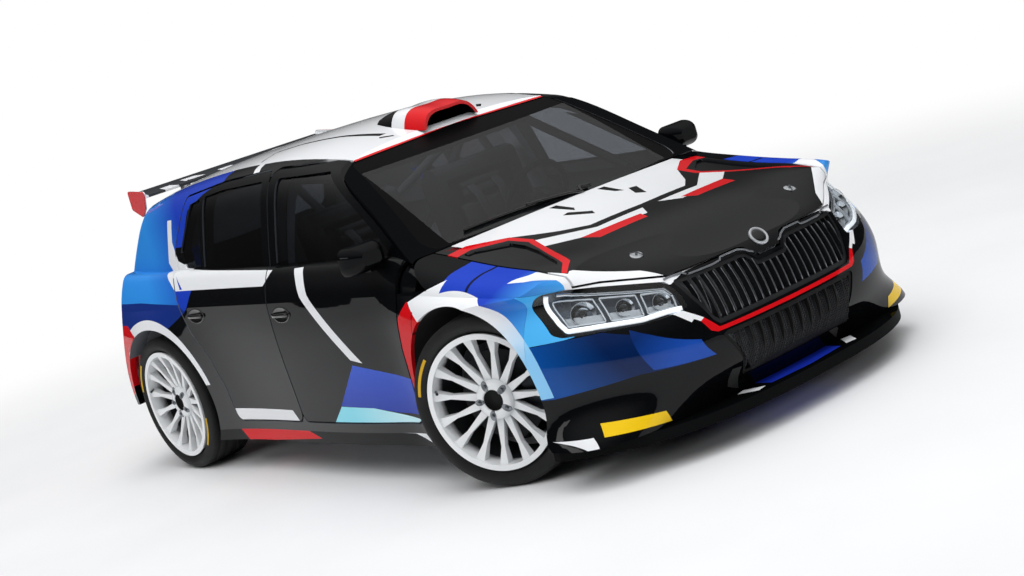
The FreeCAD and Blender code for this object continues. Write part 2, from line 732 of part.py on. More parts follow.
def tailgate():
    """The tailgate: outer panel with a deeper inner panel inside its rim."""
    hinge_x = behind(GATE_HINGE_SHARE) - SHUT_GAP
    outer = shell(gate_prism(GATE_SHARES, 0, hinge_x), 0, DOOR_LIP, TAIL)
    inner = shell(gate_prism(GATE_SHARES, -LIP_SETBACK, hinge_x), DOOR_LIP, GATE_WALL, TAIL)
    window = gate_prism(GATE_WINDOW_SHARES, 0, hinge_x)
    panel = outer.fuse(inner).cut(window)
    ring = gate_prism(GATE_SHARES, -SEAL_OUTER, hinge_x).cut(gate_prism(GATE_SHARES, -SEAL_INNER, hinge_x))
    low = up(REAR_BUMPER_TOP_SHARE) + JAMB_WIDTH
    inner_y = out(STRIP_INNER_SHARE)
    sides = [
        block(-HALF_LENGTH, hinge_x, y0, y0 + inner_y, low, up(SEAL_TOP_SHARE))
        for y0 in (-HALF_WIDTH, inner_y)
    ]
    ring = ring.common(Part.makeCompound(sides))
    strip = shell(ring, GATE_WALL, GATE_WALL + CLEARANCE - RUNNING_GAP, (rear_core,))
    return solids_of(panel.fuse(strip))


def tailgate_glass():
    """The tailgate's window."""
    region = gate_prism(GATE_WINDOW_SHARES, 0, behind(GATE_HINGE_SHARE) - SHUT_GAP)
    return solids_of(shell(region, GLASS_SETBACK, GLASS_SETBACK + GLASS_THICKNESS, TAIL))


def rear_bumper():
    """The rear bumper, wrapped round to the rear arches."""
    x1 = behind(REAR_BUMPER_FRONT_SHARE)
    region = block(-HALF_LENGTH, x1, -HALF_WIDTH, HALF_WIDTH, REAR_BUMPER_BOTTOM,
                   up(REAR_BUMPER_TOP_SHARE) - SHUT_GAP)
    arch = wheel_arch(REAR_AXLE_X, ARCH_RADIUS, 0)
    return solids_of(shell(region, 0, BUMPER_WALL, TAIL).cut([arch, mirrored(arch)]))


def tail_lamp_prism(grow):
    """The right tail lamp's outline swept along the car."""
    face = front_face([(-out(y), up(z)) for y, z in TAIL_LAMP_SHARES], -HALF_LENGTH - OVERRUN, LAMP_RADIUS)
    if grow:
        face = face.makeOffset2D(grow)
    return face.extrude(vec(REAR_OVERHANG * TAIL_LAMP_REACH_SHARE, 0, 0))


def tail_lamp():
    """The right tail lamp."""
    return solids_of(shell(tail_lamp_prism(0), 0, TAIL_LAMP_DEPTH, TAIL))


def roof_plan(grow):
    """The roof panel's outline from above, widened by grow and swept up through the car."""
    half = [(along(x), out(y) + grow) for x, y in ROOF_PLAN_SHARES]
    outline = half + [(x, -y) for x, y in reversed(half)]
    wire = Part.makePolygon([vec(x, y, up(ROOF_PLAN_LEVEL_SHARE)) for x, y in outline + outline[:1]])
    return Part.Face(wire).extrude(vec(0, 0, ROOF_HEIGHT))


def screen_prism():
    """The windscreen's outline swept along the car."""
    half = [(out(y), up(z)) for y, z in SCREEN_SHARES]
    outline = half + [(-y, z) for y, z in half[-2:0:-1]]
    face = front_face(outline, along(SCREEN_BACK_SHARE), CORNER_RADIUS)
    return face.extrude(vec(WHEELBASE, 0, 0))


def windscreen():
    """The windscreen, a bowed sheet inside its frame."""
    region = screen_prism().common(core(cabin_core, 0)).common(core(screen_core, GLASS_SETBACK))
    return solids_of(region.cut(core(screen_core, GLASS_SETBACK + GLASS_THICKNESS)))


def roof_panel():
    """The roof between the side rails, from the windscreen to the tailgate's hinge."""
    region = block(behind(GATE_HINGE_SHARE), along(ROOF_FRONT_SHARE), -HALF_WIDTH, HALF_WIDTH,
                   up(ROOF_FOOT_SHARE), up(PANEL_TOP_SHARE)).common(roof_plan(0))
    panel = region.common(core(cabin_core, 0)).common(core(screen_core, 0))
    for tool in (core(cabin_core, ROOF_WALL).common(core(screen_core, ROOF_WALL)), screen_prism()):
        panel = panel.cut(tool)
    return solids_of(panel)


BODY_SIDE_INNER_SHARE = 0.50
BODY_SIDE_FRONT_SHARE = 0.905


def wing_skin():
    """The layer that the right wing's panel takes from the lower body."""
    return wing_region().common(core(lower_core, 0)).cut(core(lower_core, SKIN))


def body_side():
    """The right side frame: pillars, roof rail, sill and rear quarter."""
    wall = DOOR_WALL + CLEARANCE + PILLAR_WALL
    deep = DOOR_WALL + CLEARANCE
    region = block(-HALF_LENGTH, along(BODY_SIDE_FRONT_SHARE), -HALF_WIDTH, -out(BODY_SIDE_INNER_SHARE),
                   SILL_Z, up(PANEL_TOP_SHARE))
    roof_room = block(behind(GATE_HINGE_SHARE), along(ROOF_FRONT_SHARE), -HALF_WIDTH, 0,
                      0, up(CUTTER_TOP_SHARE))
    cuts = [roof_plan(0).common(roof_room)]
    for outline in (FRONT_DOOR_SHARES, REAR_DOOR_SHARES):
        prism = right_prism(side_face(outline, CORNER_RADIUS, SHUT_GAP))
        cuts.append(prism.cut([core(lower_core, deep), core(cabin_core, deep)]))
        cuts.append(right_prism(side_face(outline, CORNER_RADIUS, -JAMB_WIDTH)))
    cuts.append(wing_skin())
    cuts.append(bonnet_plan(SHUT_GAP).cut(core(screen_core, -SHUT_GAP)))
    gateway = gate_prism(GATE_SHARES, SHUT_GAP, behind(GATE_HINGE_SHARE))
    jamb = GATE_WALL + CLEARANCE
    cuts.append(gateway.cut([core(rear_hollow, jamb), core(cab_core, jamb)]))
    cuts.append(gate_prism(GATE_SHARES, -JAMB_WIDTH, behind(GATE_HINGE_SHARE)))
    cuts.append(block(-HALF_LENGTH, behind(REAR_BUMPER_FRONT_SHARE), -HALF_WIDTH, 0, 0,
                      up(REAR_BUMPER_TOP_SHARE) - SHUT_GAP))
    cuts.append(wheel_arch(REAR_AXLE_X, ARCH_RADIUS, 0))
    cuts.append(wheel_arch(FRONT_AXLE_X, ARCH_RADIUS + TUB_WALL, 0))
    cuts.append(screen_prism())
    cuts.append(tail_lamp_prism(PANEL_GAP))
    frame = shell(region, 0, wall, TAIL, HOLLOWS)
    for tool in cuts:
        frame = frame.cut(tool)
    return solids_of(frame)


# Floor, bulkhead, rails and wheelhouses
BOOT_FLOOR_Z = 430.0
BOOT_STEP_SHARE = 0.16
TUNNEL_HALF = 110.0
TUNNEL_TOP = 335.0
RAIL_Y = 360.0
RAIL_WIDTH = 60.0
RAIL_Z = 450.0
RAIL_HEIGHT = 90.0
BULKHEAD_SHARE = 0.850
RADIATOR_SHARE = 0.640
RADIATOR_HALF_SHARE = 0.50
RADIATOR_TOP_SHARE = 0.42
BULKHEAD_TOP_SHARE = 0.60
BOOT_BACK_HALF_SHARE = 0.62
BOOT_BACK_FOOT_SHARE = 0.25
COWL_FRONT_SHARE = 0.95
COWL_LEVEL_SHARES = (0.585, 0.70)
STOP_Y = 300.0
SIDE_WALL = DOOR_WALL + CLEARANCE + PILLAR_WALL


BOOT_PLAN_SHARES = ((0.30, 1.0), (-0.10, 1.0), (-0.16, 0.80), (-0.185, 0.66))


def within(shape):
    """The part of a shape inside the lower body's walls."""
    return shape.common(core(lower_core, SIDE_WALL))


def floor_pan():
    """Floor, tunnel, bulkhead, boot floor, rear wheelhouses, front rails and radiator panel."""
    rear_x = along(BOOT_PLAN_SHARES[-1][0])
    step_x = along(BOOT_STEP_SHARE)
    head_x = along(BULKHEAD_SHARE)
    front_x = ahead(RADIATOR_SHARE)
    thick = FLOOR_THICKNESS
    wide = HALF_WIDTH
    half = [(along(x), out(y)) for x, y in BOOT_PLAN_SHARES]
    boot_plan = plan_face(half + [(x, -y) for x, y in reversed(half)], BOOT_FLOOR_Z, thick)
    boot_room = block(rear_x, step_x + thick, -wide, wide, 0, ROOF_HEIGHT)
    boot = boot_plan.extrude(vec(0, 0, thick)).common(boot_room)
    drum = wheel_arch(REAR_AXLE_X, ARCH_RADIUS + TUB_WALL, TUB_Y - TUB_WALL)
    drum = drum.common(block(rear_x, step_x, -wide, 0, BOOT_FLOOR_Z, ROOF_HEIGHT))
    pieces = [
        within(block(step_x, head_x, -wide, wide, SILL_Z, SILL_Z + thick)),
        within(block(step_x, step_x + thick, -wide, wide, SILL_Z, BOOT_FLOOR_Z + thick)),
        within(block(head_x - thick, head_x, -wide, wide, SILL_Z, up(BULKHEAD_TOP_SHARE))),
        block(step_x, head_x, -TUNNEL_HALF, TUNNEL_HALF, SILL_Z, TUNNEL_TOP),
        block(rear_x, rear_x + thick, -out(BOOT_BACK_HALF_SHARE), out(BOOT_BACK_HALF_SHARE),
              up(BOOT_BACK_FOOT_SHARE), BOOT_FLOOR_Z),
        within(boot), within(drum), within(mirrored(drum)),
    ]
    pan = fused(pieces)
    tunnel = block(step_x - OVERRUN, head_x + OVERRUN, -TUNNEL_HALF + thick, TUNNEL_HALF - thick,
                   0, TUNNEL_TOP - thick)
    wheel_room = wheel_arch(REAR_AXLE_X, ARCH_RADIUS, TUB_Y)
    for tool in (tunnel, wheel_room, mirrored(wheel_room)):
        pan = pan.cut(tool)
    rails = []
    for side in (-1, 1):
        y0, y1 = sorted((side * RAIL_Y, side * (RAIL_Y + RAIL_WIDTH)))
        rails.append(block(head_x, front_x, y0, y1, RAIL_Z, RAIL_Z + RAIL_HEIGHT))
    panel_half = out(RADIATOR_HALF_SHARE)
    panel_top = up(RADIATOR_TOP_SHARE)
    rails.append(block(front_x, front_x + thick, -panel_half, panel_half, BUMPER_BOTTOM, panel_top))
    for side in (-1, 1):
        stop = block(front_x, front_x + thick, side * STOP_Y - thick, side * STOP_Y + thick,
                     panel_top, ROOF_HEIGHT)
        rails.append(stop.common(core(front_core, BONNET_WALL + RUNNING_GAP)))
    pipe_start = vec(rear_x - thick, EXHAUST_Y, EXHAUST_PIPE_Z)
    pipe_hole = Part.makeCylinder(PIPE_RADIUS + CLEARANCE, 3 * thick, pipe_start, ALONG)
    return solids_of(fused([pan.cut(pipe_hole)] + rails))


def front_liner():
    """The right front wheelhouse: an arched roof over the tyre and a wall to the engine bay."""
    x0 = along(BULKHEAD_SHARE)
    shell_ring = wheel_arch(FRONT_AXLE_X, ARCH_RADIUS + TUB_WALL, LINER_Y).cut(
        wheel_arch(FRONT_AXLE_X, ARCH_RADIUS, LINER_Y))
    wall = wheel_arch(FRONT_AXLE_X, ARCH_RADIUS + TUB_WALL, RAIL_Y + RAIL_WIDTH).cut(
        block(x0, HALF_LENGTH, -HALF_WIDTH * 2, -LINER_Y, 0, ROOF_HEIGHT))
    room = block(x0, ahead(WING_FRONT_SHARE), -HALF_WIDTH, 0, RAIL_Z, ROOF_HEIGHT)
    liner = fused([shell_ring, wall]).common(room)
    return solids_of(liner.common(core(front_core, SKIN)))


def cowl():
    """The beam below the windscreen, in front of the dashboard."""
    half = out(BODY_SIDE_INNER_SHARE)
    low, high = (up(share) for share in COWL_LEVEL_SHARES)
    beam = block(along(BULKHEAD_SHARE), along(COWL_FRONT_SHARE), -half, half, low, high)
    beam = beam.common(core(screen_core, GLASS_SETBACK + GLASS_THICKNESS + PANEL_GAP))
    return solids_of(beam.common(core(lower_core, BONNET_WALL + PANEL_GAP)))


def side_skirt():
    """The right sill cover between the wheels."""
    region = block(REAR_AXLE_X, FRONT_AXLE_X, -HALF_WIDTH, 0, up(UNDERSIDE_SHARE), SILL_Z)
    cover = region.common(core(lower_core, 0)).cut(core(lower_core, DOOR_WALL))
    for x in (REAR_AXLE_X, FRONT_AXLE_X):
        cover = cover.cut(wheel_arch(x, ARCH_RADIUS, 0))
    return solids_of(cover)


# The scoop on the roof: stations from its mouth back, each with half width and height
SCOOP_STATION_SHARES = (
    (0.652, 0.165, 0.050), (0.610, 0.175, 0.055), (0.560, 0.170, 0.046), (0.490, 0.140, 0.012),
)
SCOOP_ARC_SHARES = (0.97, 0.72, 0.16)
SCOOP_HOLLOW_SHARES = (0.50, 0.70)
SCOOP_BASE_SHARE = 0.90
SCOOP_WALL = 12.0


def scoop_core(inset):
    """The scoop's blister, drawn in by inset."""
    wires = []
    for place, wide, high in SCOOP_STATION_SHARES:
        x = along(place)
        half = out(wide) - inset
        top = core_height(x) + up(high) - inset
        base = up(SCOOP_BASE_SHARE)
        side, brow, dip = SCOOP_ARC_SHARES
        arc = [
            vec(x, -half, base), vec(x, -half * side, (base + top) / 2),
            vec(x, -half * brow, top - up(high) * dip), vec(x, 0, top),
        ]
        arc += [vec(p.x, -p.y, p.z) for p in arc[-2::-1]]
        wires.append(Part.Wire([spline(arc), line(arc[-1], arc[0])]))
    return Part.makeLoft(wires, True, False)


def core_height(x):
    """The roof's height on the middle plane at x, between the cabin's stations."""
    stations = sorted((along(place), up(high)) for place, wide, high in CABIN_STATION_SHARES)
    for (x0, z0), (x1, z1) in zip(stations, stations[1:]):
        if x0 <= x <= x1:
            return z0 + (z1 - z0) * (x - x0) / (x1 - x0)
    return ROOF_HEIGHT


def roof_vent():
    """The scoop on the roof's front edge, open ahead and hollow for most of its length."""
    solid = scoop_core(0).cut(core(cabin_core, 0))
    back, mouth = (along(share) for share in SCOOP_HOLLOW_SHARES)
    room = block(back, mouth, -HALF_WIDTH, HALF_WIDTH, 0, up(CUTTER_TOP_SHARE))
    inner = scoop_core(SCOOP_WALL).common(room)
    return solids_of(solid.cut(inner))


# The wing behind the roof
WING_HALF_SHARE = 0.625
WING_FRONT_SHARES = (0.350, 0.955)
WING_REAR_SHARES = (0.600, 0.972)
WING_THICKNESS = 22.0
WING_CAMBER_SHARES = (0.1, 0.3, 0.5)
END_PLATE = 8.0
END_PLATE_SHARES = ((0.340, 0.970), (0.610, 0.985), (0.620, 0.915), (0.480, 0.880), (0.400, 0.910))
WING_POST_Y = 300.0
WING_POST_SHARES = ((0.400, 0.961), (0.540, 0.967), (0.620, 0.800), (0.420, 0.800))


def rear_wing():
    """The rear wing: a cambered plane, two end plates and two posts that stand on the tailgate."""
    x0, z0 = behind(WING_FRONT_SHARES[0]), up(WING_FRONT_SHARES[1])
    x1, z1 = behind(WING_REAR_SHARES[0]), up(WING_REAR_SHARES[1])
    half = out(WING_HALF_SHARE)
    middle_x, middle_z = (x0 + x1) / 2, (z0 + z1) / 2
    dip = WING_THICKNESS
    bulge, tail, nose = (share * dip for share in WING_CAMBER_SHARES)
    upper = [vec(x0, -half, z0), vec(middle_x, -half, middle_z + bulge), vec(x1, -half, z1)]
    lower = [vec(x1, -half, z1 - tail), vec(middle_x, -half, middle_z - dip), vec(x0, -half, z0 - nose)]
    wire = Part.Wire([spline(upper), line(upper[-1], lower[0]), spline(lower), line(lower[-1], upper[0])])
    plane = Part.Face(wire).extrude(vec(0, 2 * half, 0))
    pieces = [plane]
    for side in (-1, 1):
        thickness = vec(0, side * END_PLATE, 0)
        outline = [vec(behind(x), side * half, up(z)) for x, z in END_PLATE_SHARES]
        pieces.append(Part.Face(rounded(outline, WINDOW_RADIUS)).extrude(thickness))
        outline = [vec(behind(x), side * WING_POST_Y, up(z)) for x, z in WING_POST_SHARES]
        post = Part.Face(Part.makePolygon(outline + outline[:1])).extrude(thickness)
        pieces.append(post.cut([core(cab_core, 0), core(rear_core, 0)]))
    wing = fused(pieces)
    return solids_of(wing)


# Wheels, in a frame of their own: +Y is outwards and the origin is the middle of the wheel
RIM_HALF = 104.0
BEAD_RADIUS = RIM_RADIUS - RIM_LIP
HUB_FACE = 38.0
HUB_RADIUS = 78.0
BORE_RADIUS = 34.0
SPOKE_FOOT = 62.0
SPOKE_DEPTH = 26.0
SPOKE_WIDTH_SHARES = (0.058, 0.030, 0.070)
SPOKE_RADIUS_SHARES = (0.9, 0.72)
SPOKE_RISE_SHARES = (0.80, 0.97, 0.60, 0.56)
HUB_CHAMFER_SHARE = 0.82
BORE_CHAMFER_SHARE = 1.25
BELL_SHARE = 0.6
TREAD_HALF = 92.0
SHOULDER_DROP = 12.0
SHOULDER_HALF_SHARE = 0.93
BULGE_RADIUS = 296.0
DISC_INNER = -25.0
KNUCKLE_FACE = -31.0


def revolved(points):
    """A ring or disc from a closed outline of radii and places along the wheel's axis."""
    wire = Part.makePolygon([vec(r, y, 0) for r, y in points + points[:1]])
    return Part.Face(wire).revolve(CENTRE, ACROSS, 360)


def tyre():
    """A road tyre with a rounded shoulder and straight bead."""
    half = TYRE_WIDTH / 2
    edge = half * SHOULDER_HALF_SHARE
    shoulder = TYRE_RADIUS - SHOULDER_DROP
    section = [
        (BEAD_RADIUS, -RIM_HALF), (RIM_RADIUS, -RIM_HALF), (BULGE_RADIUS, -half), (shoulder, -edge),
        (TYRE_RADIUS, -TREAD_HALF), (TYRE_RADIUS, TREAD_HALF), (shoulder, edge),
        (BULGE_RADIUS, half), (RIM_RADIUS, RIM_HALF), (BEAD_RADIUS, RIM_HALF),
    ]
    return revolved(section)


def rim():
    """An alloy rim: barrel with two flanges, hub, and slender spokes that widen into the barrel."""
    inner = BEAD_RADIUS - RIM_WALL
    barrel = revolved([
        (inner, -RIM_HALF - RIM_WALL), (RIM_RADIUS, -RIM_HALF - RIM_WALL),
        (RIM_RADIUS, -RIM_HALF), (BEAD_RADIUS, -RIM_HALF),
        (BEAD_RADIUS, RIM_HALF), (RIM_RADIUS, RIM_HALF),
        (RIM_RADIUS, RIM_HALF + RIM_WALL), (inner, RIM_HALF + RIM_WALL),
    ])
    hub = revolved([
        (BORE_RADIUS, HUB_FACE), (HUB_RADIUS, HUB_FACE), (HUB_RADIUS, SPOKE_FOOT),
        (HUB_RADIUS * HUB_CHAMFER_SHARE, SPOKE_FOOT + RIM_WALL),
        (BORE_RADIUS * BORE_CHAMFER_SHARE, SPOKE_FOOT), (BORE_RADIUS, SPOKE_FOOT),
    ])
    foot, waist, head = (share * RIM_RADIUS for share in SPOKE_WIDTH_SHARES)
    r0 = HUB_RADIUS * SPOKE_RADIUS_SHARES[0]
    r1 = BEAD_RADIUS * SPOKE_RADIUS_SHARES[1]
    r2 = BEAD_RADIUS - RIM_WALL / 2
    outline = [
        vec(r0, 0, -foot), vec(r1, 0, -waist), vec(r2, 0, -head),
        vec(r2, 0, head), vec(r1, 0, waist), vec(r0, 0, foot),
    ]
    blade = Part.Face(Part.makePolygon(outline + outline[:1])).extrude(vec(0, RIM_HALF, 0))
    upper_bend, upper_end, lower_end, lower_bend = (share * RIM_HALF for share in SPOKE_RISE_SHARES)
    rise = [
        vec(r0, HUB_FACE, 0), vec(r0, HUB_FACE + SPOKE_DEPTH, 0), vec(r1, upper_bend, 0),
        vec(r2, upper_end, 0), vec(r2, lower_end, 0), vec(r1, lower_bend, 0),
    ]
    side = Part.Face(Part.makePolygon(rise + rise[:1]))
    side.translate(vec(0, 0, -RIM_RADIUS))
    blade = blade.common(side.extrude(vec(0, 0, 2 * RIM_RADIUS)))
    spokes = []
    for i in range(SPOKE_COUNT):
        spoke = blade.copy()
        spoke.rotate(CENTRE, ACROSS, 360 / SPOKE_COUNT * i)
        spokes.append(spoke)
    return solids_of(fused([barrel, hub] + spokes))


def brake_disc():
    """The brake disc with its bell and hub, just clear of the rim."""
    face = HUB_FACE - RUNNING_GAP
    bell = HUB_RADIUS * BELL_SHARE
    return revolved([
        (0, KNUCKLE_FACE + RUNNING_GAP), (bell, KNUCKLE_FACE + RUNNING_GAP), (bell, DISC_INNER),
        (DISC_RADIUS, DISC_INNER), (DISC_RADIUS, DISC_INNER + DISC_WIDTH),
        (HUB_RADIUS, DISC_INNER + DISC_WIDTH),
        (HUB_RADIUS, face), (0, face),
    ])


def set_wheel(shape, x, side):
    """A wheel's piece moved from its own frame to the axle at x on one side."""
    placed = shape.copy()
    if side < 0:
        placed = placed.mirror(CENTRE, ACROSS)
    placed.translate(vec(x, side * TRACK / 2, AXLE_Z))
    return placed


def steered(shape, side):
    """A piece of a front wheel turned about its kingpin to the resting angle."""
    turned = shape.copy()
    turned.rotate(vec(FRONT_AXLE_X, side * KINGPIN_Y, 0), UP, STEER_REST_DEG)
    return turned


# Knuckles and suspension
KNUCKLE_HEIGHT = 165.0
KNUCKLE_HALF = 46.0
KNUCKLE_THICKNESS = 56.0
JOINT_RADIUS = 27.0
BOSS_RADIUS = 24.0
CALIPER_SPAN = 62.0
CALIPER_RISE_SHARE = 1 / 2.4


def knuckle():
    """A front knuckle with its caliper: an upright plate, two ball-joint bosses and a shaft's cup."""
    y1 = KNUCKLE_FACE
    y0 = y1 - KNUCKLE_THICKNESS
    plate_points = [
        vec(-BOSS_RADIUS, y0, -KNUCKLE_HEIGHT), vec(BOSS_RADIUS, y0, -KNUCKLE_HEIGHT),
        vec(KNUCKLE_HALF, y0, -KNUCKLE_HALF), vec(KNUCKLE_HALF, y0, KNUCKLE_HALF),
        vec(BOSS_RADIUS, y0, KNUCKLE_HEIGHT), vec(-BOSS_RADIUS, y0, KNUCKLE_HEIGHT),
        vec(-KNUCKLE_HALF, y0, KNUCKLE_HALF), vec(-KNUCKLE_HALF, y0, -KNUCKLE_HALF),
    ]
    plate = Part.Face(rounded(plate_points, BOSS_RADIUS)).extrude(vec(0, KNUCKLE_THICKNESS, 0))
    cup = Part.makeSphere(JOINT_RADIUS + CLEARANCE, vec(0, -SCRUB, 0))
    mouth = Part.makeCylinder(JOINT_RADIUS + CLEARANCE, KNUCKLE_THICKNESS, vec(0, -SCRUB, 0), -ACROSS)
    return plate.cut([cup, mouth]).fuse(caliper())


def caliper():
    """The brake caliper, a block that straddles the disc ahead of the axle."""
    inner = DISC_RADIUS - CALIPER_SPAN
    outer = DISC_RADIUS + CALIPER_SPAN * CALIPER_RISE_SHARE
    y0 = KNUCKLE_FACE - KNUCKLE_THICKNESS / 2
    y1 = HUB_FACE - CLEARANCE
    ring = revolved([(inner, y0), (outer, y0), (outer, y1), (inner, y1)])
    slot = revolved([
        (0, DISC_INNER - CLEARANCE), (DISC_RADIUS + CLEARANCE, DISC_INNER - CLEARANCE),
        (DISC_RADIUS + CLEARANCE, DISC_INNER + DISC_WIDTH + CLEARANCE),
        (0, DISC_INNER + DISC_WIDTH + CLEARANCE),
    ])
    block_part = ring.cut(slot).common(block(0, outer, y0, y1, -CALIPER_SPAN, CALIPER_SPAN))
    bridge = block(KNUCKLE_HALF - RIM_WALL, inner + RIM_WALL, y0, KNUCKLE_FACE,
                   -CALIPER_SPAN / 2, CALIPER_SPAN / 2)
    return solids_of(block_part.fuse(bridge))


LOWER_ARM_Z = AXLE_Z - KNUCKLE_HEIGHT - ARM_RADIUS - RUNNING_GAP
UPPER_ARM_Z = AXLE_Z + KNUCKLE_HEIGHT + ARM_RADIUS + RUNNING_GAP
ARM_SPREAD = 110.0
CROSS_HALF = 330.0
DAMPER_Y = 560.0
DAMPER_SHIFT = 55.0
DAMPER_RADIUS = 32.0
ROD_RADIUS = 14.0
DAMPER_TOP = 682.0


def arms(x, z, inner_y):
    """A wishbone of the right side: two bars that meet below or above the kingpin."""
    tip = vec(x, -KINGPIN_Y, z)
    return [tube([vec(x + way * ARM_SPREAD, -inner_y, z), tip], ARM_RADIUS) for way in (-1, 1)] + [
        Part.makeCylinder(BOSS_RADIUS, 2 * ARM_RADIUS, vec(x, -KINGPIN_Y, z - ARM_RADIUS), UP)]


def damper(x, foot_z, top_z):
    """The right spring and damper, upright between wishbone and tower."""
    middle = (foot_z + top_z) / 2
    return [Part.makeCylinder(DAMPER_RADIUS, top_z - middle, vec(x, -DAMPER_Y, middle), UP),
            Part.makeCylinder(ROD_RADIUS, middle - foot_z, vec(x, -DAMPER_Y, foot_z), UP),
            Part.makeCylinder(DAMPER_RADIUS, 2 * ARM_RADIUS, vec(x, -DAMPER_Y, foot_z - ARM_RADIUS), UP)]


ENGINE_SIZE = (400.0, 560.0, 420.0)
ENGINE_Z = 250.0
ENGINE_SETBACK = 40.0


def engine():
    """The engine and gearbox as one block on mounts that reach the rails."""
    length, width, height = ENGINE_SIZE
    x0 = FRONT_AXLE_X - ENGINE_SETBACK - length / 2
    core_block = block(x0, x0 + length, -width / 2, width / 2, ENGINE_Z, ENGINE_Z + height)
    arm = block(FRONT_AXLE_X - BOSS_RADIUS, FRONT_AXLE_X + BOSS_RADIUS, -RAIL_Y, RAIL_Y,
                RAIL_Z, RAIL_Z + RAIL_HEIGHT)
    return solids_of(core_block.fuse(arm))


SUBFRAME_HALF = 130.0


def front_suspension():
    """Front subframe, lower and upper wishbones and dampers, all in one."""
    x = FRONT_AXLE_X
    frame_z = LOWER_ARM_Z - ARM_RADIUS
    pieces = [block(x - SUBFRAME_HALF, x + SUBFRAME_HALF, -CROSS_HALF, CROSS_HALF, frame_z, ENGINE_Z)]
    right = arms(x, LOWER_ARM_Z, CROSS_HALF - ARM_RADIUS) + arms(x, UPPER_ARM_Z, LINER_Y + ARM_RADIUS)
    right.append(block(x - SUBFRAME_HALF, x + SUBFRAME_HALF, -LINER_Y - ARM_RADIUS, -LINER_Y,
                       RAIL_Z, DAMPER_TOP))
    strut_x = x + DAMPER_SHIFT
    right.append(block(strut_x - DAMPER_RADIUS, strut_x + DAMPER_RADIUS, -DAMPER_Y - DAMPER_RADIUS, -LINER_Y,
                       DAMPER_TOP - ARM_RADIUS, DAMPER_TOP))
    right += damper(strut_x, LOWER_ARM_Z, DAMPER_TOP)
    right.append(block(x - DAMPER_SHIFT, strut_x, -DAMPER_Y - DAMPER_RADIUS, -DAMPER_Y + DAMPER_RADIUS,
                       LOWER_ARM_Z - ARM_RADIUS, LOWER_ARM_Z + ARM_RADIUS))
    side = fused(right)
    return solids_of(fused(pieces + [side, mirrored(side)]))


def rear_upright():
    """A rear upright with its caliper, in the wheel's frame."""
    y0 = KNUCKLE_FACE - KNUCKLE_THICKNESS
    plate = block(-KNUCKLE_HALF, KNUCKLE_HALF, y0, KNUCKLE_FACE, -KNUCKLE_HEIGHT, KNUCKLE_HEIGHT)
    return plate.fuse(caliper())


DIFF_HALF = 110.0
CUP_RADIUS_SHARE = 1.5
PROP_LIFT_SHARE = 0.1


def rear_suspension():
    """Rear subframe with the final drive, wishbones, uprights and dampers, all in one."""
    x = REAR_AXLE_X
    base_z = LOWER_ARM_Z - ARM_RADIUS
    top_z = BOOT_FLOOR_Z
    pieces = [block(x - SUBFRAME_HALF, x + SUBFRAME_HALF, -DIFF_HALF, DIFF_HALF, base_z, top_z),
              block(x - DAMPER_RADIUS, x + DAMPER_RADIUS, -CROSS_HALF, CROSS_HALF,
                    base_z, base_z + 2 * ARM_RADIUS)]
    upright = set_wheel(rear_upright(), x, -1)
    right = [upright]
    arm_z = LOWER_ARM_Z + ARM_RADIUS
    tip = vec(x, -KINGPIN_Y, arm_z)
    right += [tube([vec(x + way * ARM_SPREAD, -CROSS_HALF / 2, arm_z), tip], ARM_RADIUS) for way in (-1, 1)]
    reach = ARM_SPREAD + ARM_RADIUS
    right.append(block(x - reach, x + reach, -CROSS_HALF / 2 - ARM_RADIUS, -DIFF_HALF,
                       base_z, base_z + 2 * ARM_RADIUS))
    strut_x = x + DAMPER_SHIFT
    right.append(block(x - DAMPER_RADIUS, strut_x + DAMPER_RADIUS, -DAMPER_Y - DAMPER_RADIUS, -CROSS_HALF,
                       base_z, base_z + 2 * ARM_RADIUS))
    right += damper(strut_x, LOWER_ARM_Z, BOOT_FLOOR_Z)
    side = fused(right)
    return solids_of(fused(pieces + [side, mirrored(side)]))


def driveshafts():
    """Front and rear half shafts and the long shaft under the tunnel."""
    gearbox_y = ENGINE_SIZE[1] / 2
    cup_radius = JOINT_RADIUS * CUP_RADIUS_SHARE
    start_at = vec(FRONT_AXLE_X, -gearbox_y, AXLE_Z)
    front = Part.makeCylinder(SHAFT_RADIUS, KINGPIN_Y - gearbox_y, start_at, -ACROSS)
    front = front.fuse(Part.makeSphere(JOINT_RADIUS, vec(FRONT_AXLE_X, -KINGPIN_Y, AXLE_Z)))
    front = front.fuse(Part.makeCylinder(cup_radius, JOINT_RADIUS * 2, start_at, -ACROSS))
    reach = TRACK / 2 + KNUCKLE_FACE - KNUCKLE_THICKNESS - DIFF_HALF
    start_at = vec(REAR_AXLE_X, -DIFF_HALF, AXLE_Z)
    rear = Part.makeCylinder(SHAFT_RADIUS, reach, start_at, -ACROSS)
    rear = rear.fuse(Part.makeCylinder(cup_radius, JOINT_RADIUS * 2, start_at, -ACROSS))
    engine_back = FRONT_AXLE_X - ENGINE_SETBACK - ENGINE_SIZE[0] / 2
    start = REAR_AXLE_X + SUBFRAME_HALF
    prop_z = ENGINE_Z + JOINT_RADIUS * PROP_LIFT_SHARE
    prop = Part.makeCylinder(JOINT_RADIUS, engine_back - start, vec(start, 0, prop_z), ALONG)
    return Part.makeCompound([front, mirrored(front), rear, mirrored(rear), prop])


EXHAUST_Y = 420.0
SILENCER_SIZE = (300.0, 220.0, 130.0)
PIPE_RADIUS = 38.0
PIPE_WALL = 4.0
PIPE_END_SHARE = 0.94
EXHAUST_PIPE_Z = BOOT_FLOOR_Z - SILENCER_SIZE[2] + PIPE_RADIUS


